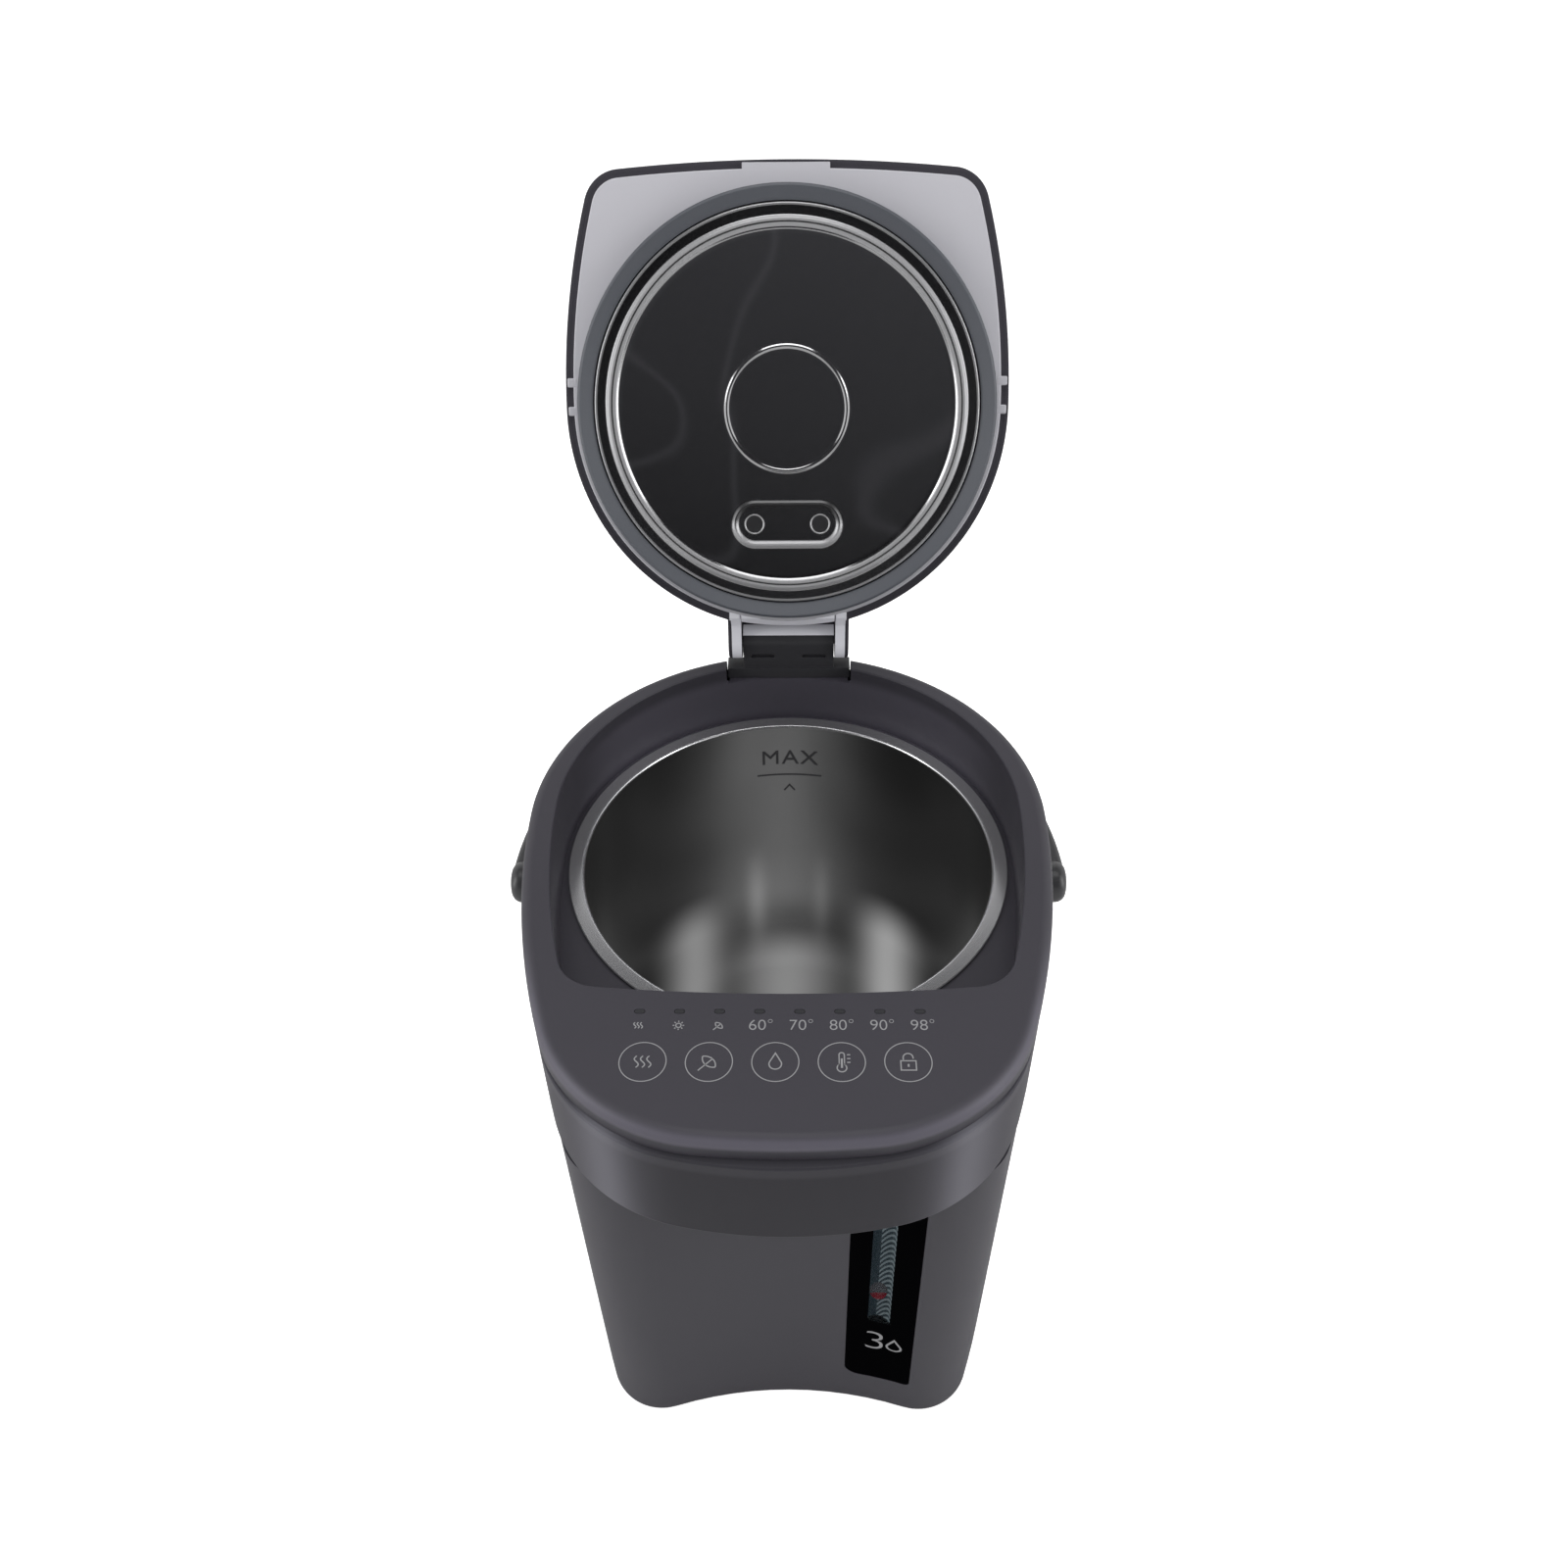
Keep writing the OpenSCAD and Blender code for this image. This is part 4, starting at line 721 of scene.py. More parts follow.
LID_TURNED = {"centre": OPENED @ Vector((0, 0, PLATE_Z)) * MM, "tilt": math.radians(-LID_OPEN)}
MAKERS = {
    "casing": lambda c: plastic("Casing", c.casing, 0.52, Specular_IOR_Level=0.37),
    "deck": lambda c: plastic("Deck", c.casing, 0.52, shade=deck_shade, Specular_IOR_Level=0.395),
    "head": lambda c: plastic("Head", c.casing, 0.52, shade=head_shade, Specular_IOR_Level=0.20),
    "bail": lambda c: plastic("Bail", c.bail, 0.36, bump=0.06),
    "dark": lambda c: plastic("Dark Moulding", c.dark, 0.42, bump=0.08),
    "lining": lambda c: plastic("Lid Lining", c.lining, 0.40, grain=3200.0, bump=0.05, drift=0.03),
    # The neck facing glows faintly: painted light that lifts it out of the shade in the neck. The knuckle
    # cover shares it.
    "facing": lambda c: plastic("Neck Facing", (0.72, 0.72, 0.76), 0.40, grain=3200.0, bump=0.05, drift=0.03,
                                Emission_Color=(0.46, 0.46, 0.51, 1), Emission_Strength=0.26),
    "seal": lambda c: plastic("Seal Rubber", c.seal, 0.45, grain=1500.0, bump=0.05, drift=0.05),
    "pads": lambda c: plastic("Foot Rubber", (0.012, 0.012, 0.012), 0.7, bump=0.2),
    "ink": lambda c: plastic("Ink", c.print, 0.5, drift=0.04, bump=0.02),
    "gauge": lambda c: plastic("Gauge Panel", c.gauge, 0.08, bump=0.0, drift=0.1, gloss=0.03,
                               Specular_IOR_Level=0.0),
    "red": lambda c: plastic("Float", c.float_red, 0.25, bump=0.02, shade=float_shade),
    "pipe": lambda c: plastic("Light Pipe", (0.024, 0.024, 0.028), 0.4, bump=0.02),
    "hose": lambda c: plastic("Silicone", (0.60, 0.60, 0.56), 0.45, Subsurface_Weight=0.15,
                              Subsurface_Radius=(0.002, 0.002, 0.002)),
    "white": lambda c: plastic("White Moulding", (0.72, 0.72, 0.70), 0.32, bump=0.05),
    "black": lambda c: plastic("Black Moulding", (0.025, 0.025, 0.03), 0.3, bump=0.05),
    "cable": lambda c: plastic("Cable Jacket", (0.62, 0.62, 0.60), 0.5, bump=0.1),
    "foam": lambda c: plastic("Foam", (0.70, 0.69, 0.62), 0.9, grain=700.0, bump=0.5, drift=0.15),
    "ceramic": lambda c: plastic("Ceramic", (0.74, 0.72, 0.66), 0.25, bump=0.03),
    "pot": lambda c: steel("Pot Steel", (0.60, 0.60, 0.605), 0.30, 150.0, 4.0, 20.0, contrast=0.05,
                           gloss=0.02, bump=0.0, touch=pot_painted_reflections),
    "vent": lambda c: steel("Vent", (0.10, 0.10, 0.105), 0.42, 60.0, 60.0, contrast=0.05, bump=0.0,
                            touch=vent_painted_highlight, **LID_TURNED),
    "mark": lambda c: steel("Fill Mark", (0.20, 0.20, 0.21), 0.35, 60.0, 60.0, contrast=0.05, bump=0.0),
    "plate": lambda c: steel("Lid Plate Steel", (0.66, 0.66, 0.67), 0.10, 14.0, 20.0, 90.0, contrast=0.10,
                             gloss=0.05, bump=0.01, touch=plate_finish_and_painted_light, **LID_TURNED),
    "plain_steel": lambda c: steel("Plain Steel", (0.55, 0.55, 0.56), 0.35, 60.0, 60.0, contrast=0.15),
    "sheet": lambda c: steel("Shield Sheet", (0.52, 0.52, 0.53), 0.38, 30.0, 8.0, 8.0, contrast=0.2),
    "aluminium": lambda c: steel("Cast Aluminium", (0.60, 0.60, 0.62), 0.45, 20.0, 200.0, 200.0,
                                 contrast=0.15, bump=0.3),
    "brass": lambda c: steel("Brass", (0.60, 0.40, 0.19), 0.35, 40.0, 20.0, contrast=0.2),
    "film": striped_film,
    "board": board_green,
    "window": lambda c: clear("Gauge Window", (0.10, 0.12, 0.13), 0.04, 0.04, Specular_IOR_Level=0.05),
    "tube": lambda c: clear("Gauge Tube", (0.05, 0.08, 0.10), 0.08, 0.05, Specular_IOR_Level=0.1),
}
FINISHES = {}


def finish(key):
    """The named finish, made the first time that it is asked for."""
    if key not in FINISHES:
        FINISHES[key] = MAKERS[key](bpy.context.scene.thermo_pot_colours)
    return FINISHES[key]


# ---------- node trees that make shapes ----------

def shape_tree(name, inputs):
    return new_tree("GeometryNodeTree", name, [("Geometry", "Geometry", None), *inputs,
                                               ("Material", "Material", None)], [("Geometry", "Geometry")])


def ended(w, geometry):
    """Every tree ends in plain geometry with its material set."""
    real = w.out("GeometryNodeRealizeInstances", {"Geometry": geometry})
    w.feed(w.sink, {0: w.out("GeometryNodeSetMaterial", {"Geometry": real, "Material": w.given["Material"]})})
    return w.tree


def grown(name, tree, values):
    """Plain mesh that a tree makes from the named values."""
    ob = make(name, [(0, 0, 0)], [])
    mod = ob.modifiers.new("tree", "NODES")
    mod.node_group = tree
    for item in tree.interface.items_tree:
        if item.in_out == "INPUT" and item.name in values:
            mod[item.identifier] = values[item.name]
    settle(ob)
    if not len(ob.data.polygons):
        raise RuntimeError(f"the tree made nothing for {name}")
    return ob


def oblong_section(w, width, height, rounding):
    flat = w.out("GeometryNodeCurvePrimitiveQuadrilateral", {"Width": width, "Height": height})
    return w.out("GeometryNodeFilletCurve", {"Curve": flat, "Count": 5, "Radius": rounding}, mode="POLY")


def in_a_row(w, piece):
    """Instances of the piece at the tree's pitch along X."""
    points = w.out("GeometryNodeMeshLine", {"Count": w.given["Count"], "Start Location": w.given["Start"],
                                            "Offset": w.vector(w.given["Pitch"])})
    return w.out("GeometryNodeInstanceOnPoints", {"Points": points, "Instance": piece})


def swept_bail_tree():
    """Bar with a rounded rectangular section, swept along half an ellipse that lies flat."""
    w = shape_tree("Swept Bail", [
        ("Float", "Half Span", BAIL_HALF_SPAN), ("Float", "Reach", BAIL_REACH), ("Float", "Pivot Y", PIVOT_Y),
        ("Float", "Pivot Z", PIVOT_Z), ("Float", "Bar Width", 8.6), ("Float", "Bar Height", 10.0),
        ("Float", "Bar Rounding", 2.4), ("Int", "Steps", 128)])
    i = w.given
    line = w.out("GeometryNodeMeshLine", {"Count": i["Steps"], "Offset": (1.0, 0.0, 0.0)})
    angle = w.out("GeometryNodeInputIndex") / (i["Steps"] - 1.0) * math.pi
    spot = w.vector(w.math("COSINE", angle) * i["Half Span"],
                    w.math("SINE", angle) * i["Reach"] + i["Pivot Y"], i["Pivot Z"])
    bent = w.out("GeometryNodeSetPosition", {"Geometry": line, "Position": spot})
    path = w.out("GeometryNodeMeshToCurve", {"Mesh": bent})
    level = w.out("GeometryNodeSetCurveNormal", {"Curve": path}, mode="Z_UP")
    section = oblong_section(w, i["Bar Width"], i["Bar Height"], i["Bar Rounding"])
    bar = w.out("GeometryNodeCurveToMesh", {"Curve": level, "Profile Curve": section, "Fill Caps": True})
    return ended(w, bar)


def ring_row_tree():
    """Row of thin flat rings."""
    w = shape_tree("Key Rings", [
        ("Int", "Count", KEYS), ("Float", "Pitch", 23.1), ("Float", "Radius", 8.2), ("Float", "Line", 0.5),
        ("Float", "Ink", 0.05), ("Vector", "Start", None)])
    i = w.given
    circle = w.out("GeometryNodeCurvePrimitiveCircle", {"Resolution": 72, "Radius": i["Radius"]})
    section = w.out("GeometryNodeCurvePrimitiveQuadrilateral", {"Width": i["Line"], "Height": i["Ink"]})
    ring = w.out("GeometryNodeCurveToMesh", {"Curve": circle, "Profile Curve": section})
    return ended(w, in_a_row(w, ring))


def light_row_tree():
    """Row of small oblong light pipes with round ends."""
    w = shape_tree("Light Pipes", [
        ("Int", "Count", LIGHTS), ("Float", "Pitch", 14.4), ("Float", "Length", 3.6), ("Float", "Width", 1.7),
        ("Float", "Height", 9.3), ("Vector", "Start", None)])
    i = w.given
    section = oblong_section(w, i["Length"], i["Width"], i["Width"] * 0.49)
    up = w.out("GeometryNodeCurvePrimitiveLine", {"End": w.vector(z=i["Height"])})
    pipe = w.out("GeometryNodeCurveToMesh", {"Curve": up, "Profile Curve": section, "Fill Caps": True})
    return ended(w, in_a_row(w, pipe))


# ---------- printing ----------

def ribbon(points, width, z0, z1, loop=False):
    """Slab that follows a line of points with mitred corners, as (verts, faces)."""
    n = len(points)
    left, right = [], []
    for i, p in enumerate(points):
        a = points[i - 1] if loop or i else p
        b = points[(i + 1) % n] if loop or i < n - 1 else p
        d1 = Vector((p[0] - a[0], p[1] - a[1])) if a != p else Vector((b[0] - p[0], b[1] - p[1]))
        d2 = Vector((b[0] - p[0], b[1] - p[1])) if b != p else d1
        d1.normalize()
        d2.normalize()
        t = (d1 + d2).normalized() if (d1 + d2).length > 1e-6 else d1
        side = Vector((-t.y, t.x))
        reach = width / 2 / max(0.35, side.dot(Vector((-d1.y, d1.x))))
        left.append((p[0] + side.x * reach, p[1] + side.y * reach))
        right.append((p[0] - side.x * reach, p[1] - side.y * reach))
    verts, faces = [], []
    for l, r in zip(left, right):
        verts += [(*r, z0), (*l, z0), (*l, z1), (*r, z1)]
    for i in range(n if loop else n - 1):
        a, b = 4 * i, 4 * ((i + 1) % n)
        faces += [(a + j, a + (j + 1) % 4, b + (j + 1) % 4, b + j) for j in range(4)]
    if not loop:
        faces += [(3, 2, 1, 0), (4 * n - 4, 4 * n - 3, 4 * n - 2, 4 * n - 1)]
    return verts, faces


def strokes(name, lines, z0, z1):
    """One mesh of ribbons. Each line is (points, width, loop)."""
    verts, faces = [], []
    for points, width, loop in lines:
        v, f = ribbon(points, width, z0, z1, loop)
        faces += [tuple(k + len(verts) for k in face) for face in f]
        verts += v
    return make(name, verts, faces)


def lettering(name, text, size, x, y, z0, z1, spacing=1.0, thin=0.0):
    """Built-in font as a thin solid, centred on (x, y), its strokes thinned from both sides."""
    curve = bpy.data.curves.new(name, "FONT")
    curve.offset = -thin
    curve.body, curve.size, curve.extrude = text, size, (z1 - z0) / 2
    curve.align_x, curve.align_y, curve.space_character = "CENTER", "CENTER", spacing
    ob = bpy.data.objects.new(name, curve)
    bpy.context.scene.collection.objects.link(ob)
    graph = bpy.context.evaluated_depsgraph_get()
    mesh = bpy.data.meshes.new_from_object(ob.evaluated_get(graph))
    bpy.data.objects.remove(ob)
    mesh.transform(Matrix.Translation((x, y, (z0 + z1) / 2)))
    out = bpy.data.objects.new(name, mesh)
    bpy.context.scene.collection.objects.link(out)
    return out


def joined(name, parts):
    """One object from several."""
    bm = bmesh.new()
    for ob in parts:
        bm.from_mesh(ob.data)
    mesh = bpy.data.meshes.new(name)
    bm.to_mesh(mesh)
    bm.free()
    for ob in parts:
        bpy.data.objects.remove(ob)
    out = bpy.data.objects.new(name, mesh)
    bpy.context.scene.collection.objects.link(out)
    return out


def moved(points, x, y, s=1.0):
    return [(x + s * px, y + s * py) for px, py in points]


def wave(n=12, height=4.2, width=0.7):
    return [(width * math.sin(2 * math.pi * i / n), height * (i / n - 0.5)) for i in range(n + 1)]


def steam(x, y, s=1.0, line=0.45):
    return [(moved(wave(), x + dx * s, y, s), line, False) for dx in (-1.9, 0.0, 1.9)]


def drop_outline(n=20):
    return arc((0, -0.8), 1.9, -215, 35, n) + [(0.0, 3.2)]


def drop(x, y, s=1.0, line=0.45):
    return [(moved(drop_outline(), x, y, s), line, True)]


def leaf(x, y, s=1.0, line=0.45):
    blade = arc((-1.35, -1.35), 3.4, -8, 98, 10) + arc((1.35, 1.35), 3.4, 172, 278, 10)
    return [(moved(blade, x, y, s), line, True), (moved([(-3.2, -3.2), (1.0, 1.0)], x, y, s), line, False)]


def sun(x, y, s=1.0, line=0.45):
    out = [(moved(arc((0, 0), 1.5, 0, 360, 20)[:-1], x, y, s), line, True)]
    for a in range(0, 360, 45):
        c, d = math.cos(math.radians(a)), math.sin(math.radians(a))
        out.append((moved([(2.3 * c, 2.3 * d), (3.3 * c, 3.3 * d)], x, y, s), line, False))
    return out


def thermometer(x, y, s=1.0, line=0.45):
    stem = arc((0, 2.6), 0.8, 0, 180, 8) + [(-0.8, -1.0)] + arc((0, -2.2), 1.45, 123, 417, 18) + [(0.8, -1.0)]
    marks = [(moved([(1.6, h), (2.6, h)], x, y, s), line, False) for h in (2.6, 1.2, -0.2)]
    column = (moved([(0, -2.2), (0, 1.2)], x, y, s), line * 1.6, False)
    return [(moved(stem, x, y, s), line, True), column] + marks


def padlock(x, y, s=1.0, line=0.45):
    case = [(-2.3, -3.0), (2.3, -3.0), (2.3, 0.4), (-2.3, 0.4)]
    bow = [(-1.5, 0.4)] + arc((0, 1.6), 1.5, 180, 0, 12) + [(1.5, 1.2)]
    return [(moved(case, x, y, s), line, True), (moved(bow, x, y, s), line, False),
            (moved([(0, -1.8), (0, -0.8)], x, y, s), line * 1.4, False)]


# ---------- pieces ----------

def casing_shell():
    """Tapered casing with the hollow front."""
    foot, foot_edge, lip = 2.4, 1.2, 0.4
    layers = [(0, d, foot + foot_edge - h) for d, h in reversed(edge(foot_edge))]
    layers += [(z, 0, z) for z in (40, 80, 120, 160, 200, 230, COVER_Z - lip)] + [(COVER_Z, lip, COVER_Z)]
    layers += [(z, WALL, z) for z in (COVER_Z, 200, 120, 40, foot)]
    ob = loft("casing_shell", [body_ring(half_width(z), d) for z, d, _ in layers],
              [height for _, _, height in layers], closed=True)
    combine(ob, box("head_room", -BODY_W, BODY_W, -400, -HEAD_END + SEAM, HEAD_Z - SEAM, 300))
    pocket = gauge_prism("pocket", 0, HEAD_Z + 1)
    combine(pocket, tapered("core", 1.6, 1))
    combine(ob, pocket)
    combine(ob, gauge_prism("opening", 2, HEAD_Z + 1))
    combine(ob, rod("pivots", -BODY_W, BODY_W, PIVOT_Y, PIVOT_Z, 6.2))
    combine(ob, box("inlet", -15, 15, 82.3, 121, 17, 43))
    return ob


def gauge_prism(name, inset, z_top):
    """Block as wide as the gauge panel, shrunk by inset, its lower left corner rounder than the right."""
    w, left_r, right_r = GAUGE_X1 - GAUGE_X0, 7, 2.5
    left = arc((left_r, left_r), left_r - inset, 270, 180, 12)
    right = arc((w - right_r, right_r), right_r - inset, 360, 270, 6)
    top = [(inset, z_top - GAUGE_Z0), (w - inset, z_top - GAUGE_Z0)]
    ob = prism(name, [(GAUGE_X0 + x, GAUGE_Z0 + z) for x, z in left + top + right], 0, 60)
    ob.data.transform(Matrix.Translation((0, -FRONT_Y + 25, 0)) @ Matrix.Rotation(math.pi / 2, 4, "X"))
    return tidy(ob)


def gauge_skin(ob, outer, inner):
    """What lies between two depths under the casing's front."""
    combine(ob, tapered("face", outer), "INTERSECT")
    return combine(ob, tapered("back", inner, 1))


def deck_cover(s):
    """Deck with its rounded edge, the lid's recess, the neck's notch and the latch's pocket."""
    r, e = s.deck_edge / MM, s.recess_edge / MM
    ob = stack("deck_cover", deck_ring, [(0.4, COVER_Z + SEAM), (0, COVER_Z + SEAM + 0.4)]
               + [(d, DECK_Z - r + h) for d, h in edge(r, 10)])
    combine(ob, stack("under", deck_ring, [(WALL, COVER_Z - 1), (WALL, DECK_Z - r), (WALL + 2, DECK_UNDER)]))
    combine(ob, prism("tub", lid_ring(-LID_GAP - TUB), RECESS_Z - TUB, DECK_UNDER + 0.5), "UNION")
    seat = box("seat", -NECK, NECK, 90, 120, NOTCH_Z - 3.2, NOTCH_Z)
    combine(seat, prism("seat_room", body_ring(half_width(COVER_Z), WALL + 0.4), 0, DECK_Z), "INTERSECT")
    combine(ob, seat, "UNION")
    mouth = [(0.0, RECESS_Z)] + [(d, DECK_Z - e + h) for d, h in edge(e, 5)] + [(e, DECK_Z + 2)]
    combine(ob, stack("recess", lambda d: lid_ring(-LID_GAP - d), mouth))
    combine(ob, drum("pot_hole", 0, 0, RECESS_Z - TUB - 1, RECESS_Z + 5, POT_R + POT_WALL + 0.8, 144))
    combine(ob, soften(box("notch", -NOTCH, NOTCH, 80, 140, NOTCH_Z, 290), 1.0, 3))
    y0, y1, half = -LID_FRONT - LID_GAP - TUB - 0.5, -LID_FRONT + 1.3, LATCH_HALF
    combine(ob, box("latch_pocket", -half, half, y0, y1, SKIRT_Z - 2, SKIRT_Z + 7))
    for i in range(LIGHTS):
        hole = stadium(4.0, 2.1, 10, (i - 3.5) * s.light_pitch / MM + LIGHT_SHIFT, LIGHT_Y)
        combine(ob, prism("light", hole, DECK_UNDER - 1, DECK_Z + 3))
    for x in (-12, 12):
        combine(ob, drum("screw", x, 100.85, NOTCH_Z - 5, NOTCH_Z + 4, 1.12, 24))
    return ob


def spout_head():
    """Bowed head under the deck's front edge."""
    low, high, floor_z = HEAD_Z - 5, HEAD_Z + 15, HEAD_Z + WALL
    ob = stack("spout_head_cover", head_ring, [(d, HEAD_Z + 2.0 - h) for d, h in reversed(edge(2.0, 6))]
               + [(d, COVER_Z - 1.0 + h) for d, h in edge(1.0, 4)])
    combine(ob, prism("inside", head_ring(WALL), floor_z, COVER_Z - WALL))
    combine(ob, prism("open_top", head_ring(7), floor_z, DECK_Z))
    combine(ob, box("behind", -BODY_W, BODY_W, -HEAD_END, 400, 0, 400))
    combine(ob, drum("nozzle_hole", 0, -SPOUT_Y, low, high, SPOUT_R + 3.2))
    combine(ob, drum("tube_hole", SLOT_X, -TUBE_Y, low, high, TUBE_R + 0.6))
    combine(ob, box("cable_hole", -36, -22, -HEAD_END - 9, -HEAD_END + 1, low, high))
    return ob


def inner_pot():
    """Drawn steel vessel with its flange and rolled edge."""
    r, f, g, o, lip_r, roll = POT_R, POT_FILLET, POT_FILLET + POT_WALL, POT_R + POT_WALL, POT_R + RIM_W, 1.2
    outside = [(0, CUP_Z - POT_WALL)]
    outside += [(o - f - POT_WALL + g * math.sin(a), CUP_Z + f - g * math.cos(a)) for a in quarter(16)]
    lip = [(o, RIM_Z - 0.8), (lip_r + 0.4, RIM_Z - 0.8), (lip_r + 0.8, RIM_Z - 0.4), (lip_r + 0.4, RIM_Z),
           (r + 3.6, RIM_Z)]
    curl = [(r + roll * (1 - math.sin(a)), RIM_Z - roll * (1 - math.cos(a))) for a in quarter(6)]
    rows = [(r, RIM_Z - roll - (RIM_Z - roll - CUP_Z - f) * i / 12) for i in range(1, 12)]
    inside = [(r - f + f * math.cos(a), CUP_Z + f - f * math.sin(a)) for a in quarter(18)]
    floor = [((r - f) * k, CUP_Z) for k in (0.8, 0.6, 0.4, 0.2)] + [(0, CUP_Z)]
    ob = lathe("steel_pot", outside + lip + curl + rows + inside + floor, 192)
    combine(ob, drum("spigot", 0, OUTLET_Y, OUTLET_Z, CUP_Z - 0.4, 4.0, 48), "UNION")
    combine(ob, drum("outlet", 0, OUTLET_Y, OUTLET_Z - 1, CUP_Z + 25, 3.0, 48))
    return ob


def wrapped(ob, r):
    """Bends a flat piece, drawn in (x, height) and risen in z, onto the inside of the pot's back wall."""
    for v in ob.data.vertices:
        u, h, w = v.co
        a = u / r
        v.co = ((r - w) * math.sin(a), (r - w) * math.cos(a), h)
    return ob


def full_mark():
    """Raised line, caret and word at the fill level."""
    z, line, span, proud = RIM_Z - MARK_DROP, 0.7, 32, 0.3
    level = [(-span / 2 + span * i / 24, z) for i in range(25)]
    caret = [(-2.6, z - 10.6), (0, z - 7.0), (2.6, z - 10.6)]
    mark = strokes("fill_line", [(level, line, False), (caret, line, False)], -PRINT_SINK, proud)
    word = lettering("fill_word", "MAX", 12.4, 0, z + 10.8, -PRINT_SINK, proud, 1.12)
    return wrapped(joined("fill_mark", [mark, word]), POT_R)


def lid_form(name, inset, drop):
    """Dome of the lid, shrunk by inset and lowered by drop. Only the outer one has a rounded lower edge."""
    top, rim, shoulder, rise = DECK_Z + DOME - drop, DECK_Z + 1.6 - drop, 6, 4.6
    if drop:
        layers = [(inset, SKIRT_Z - 5)]
    else:
        layers = [(0.5, SKIRT_Z), (0.15, SKIRT_Z + 0.15), (0, SKIRT_Z + 0.5)]
    for a in quarter(10):
        layers.append((inset + shoulder * (1 - math.cos(a)), rim - rise + rise * math.sin(a) ** 1.75))
    rings, heights = [lid_ring(d) for d, _ in layers], [z for _, z in layers]
    base = lid_ring(shoulder + inset)
    for k in (0.97, 0.92, 0.85, 0.76, 0.66, 0.55, 0.43, 0.30, 0.16, 0.05):
        rings.append([(k * x, k * y) for x, y in base])
        heights.append(rim + (top - rim) * (1 - k ** 2.6) * 0.93)
    return loft(name, rings, heights)


def neck_side(d):
    """Side view of the lid's neck in (y, z), shrunk by d."""
    r = KNUCKLE - d
    return ([(84, SKIRT_Z + 9 + d), (97.1, DECK_Z - 1.5 + d)] + arc((HINGE_Y, HINGE_Z), r, -90, 90, 20)
            + [(HINGE_Y - 6, HINGE_Z + KNUCKLE - 1.4 - d), (84, DECK_Z + 3.4 - d)])


def lid_shell():
    """Domed lid cover with its neck and knuckles."""
    arm = BLOCK + 0.4
    ob = lid_form("lid_shell", 0, 0)
    combine(ob, lid_form("lid_hollow", LID_WALL, LID_WALL))
    combine(ob, prism("cap_pad", stadium(48, 24, 24, 0, VENT_Y), CAP_SEAT - 2, CAP_SEAT + 1), "UNION")
    lip = prism("lip", lid_ring(0.8), SKIRT_Z + 0.1, SKIRT_Z + 1.6)
    combine(lip, prism("lip_hole", lid_ring(3.5), SKIRT_Z - 1, SKIRT_Z + 3))
    combine(ob, lip, "UNION")
    neck = soften(across("neck", neck_side(0), -NECK, NECK), 0.9, 3)
    room = across("neck_room", neck_side(1.7), -arm, arm)
    for y0, y1, z0, z1 in ((60, 120, 0, DECK_Z), (HINGE_Y + 3.5, HINGE_Y + 43, 200, 300),
                           (HINGE_Y - 8, HINGE_Y + 32, HINGE_Z - 15, HINGE_Z)):
        combine(room, box("room", -arm, arm, y0, y1, z0, z1), "UNION")
    combine(neck, room)
    combine(neck, prism("lid_room", lid_ring(LID_WALL), SKIRT_Z - 5, DECK_Z - 2))
    combine(ob, box("neck_mouth", -26.3, 26.3, 86, 110, SKIRT_Z - 5, SKIRT_Z + 12))
    combine(ob, neck, "UNION")
    combine(ob, rod("pin_hole", -NECK + 0.9, NECK - 0.9, HINGE_Y, HINGE_Z, PIN_R))
    slot = LATCH_HALF - 0.4
    combine(ob, box("latch_slot", -slot, slot, -LID_FRONT - 5, -LID_FRONT + 7, SKIRT_Z + 1.2, SKIRT_Z + 6.8))
    combine(ob, soften(box("thumb_gap", -15, 15, -94, -77, DECK_Z - 8, DECK_Z + 12), 2.0, 4))
    combine(ob, prism("vent_gap", stadium(38, 14, 24, 0, VENT_Y), DECK_Z - 5, DECK_Z + 15))
    combine(ob, prism("cap_seat", stadium(45, 21, 24, 0, VENT_Y), CAP_SEAT, CAP_SEAT + 20))
    return ob


def lid_lining():
    """Light panel that closes the lid from below, with its clips and the tab at its front."""
    inset, t, r, half = 3.7, 2.0, 0.6, LATCH_HALF
    ob = stack("lid_lining", lid_ring, [(inset + d, PANEL_Z + r - h) for d, h in reversed(edge(r, 4))]
               + [(inset, PANEL_Z + 5)])
    combine(ob, prism("rim_room", lid_ring(inset + 1.6), PANEL_Z + t, PANEL_Z + 8))
    combine(ob, box("latch_room", -half, half, -LID_FRONT - 5, -LID_FRONT + 9, PANEL_Z + t, PANEL_Z + 22))
    tab = box("front_tab", -18.2, 18.2, -97.9, -88, PANEL_Z + 0.05, PANEL_Z + t)
    combine(ob, soften(tab, 0.3), "UNION")
    combine(ob, box("spring_pocket", -6, 6, -66, -57, PANEL_Z + 1, PANEL_Z + 10), "UNION")
    for x in (-92, 92):
        for y in (-11.2, 0.6):
            clip = box("clip", x - 2.3, x + 2.3, y - 1.9, y + 1.9, PANEL_Z - 0.1, PANEL_Z + 1.4)
            combine(ob, soften(clip, r, 3), "UNION")
    combine(ob, prism("duct_room", stadium(45, 18, 24, 0, VENT_Y), 200, 300))
    return ob


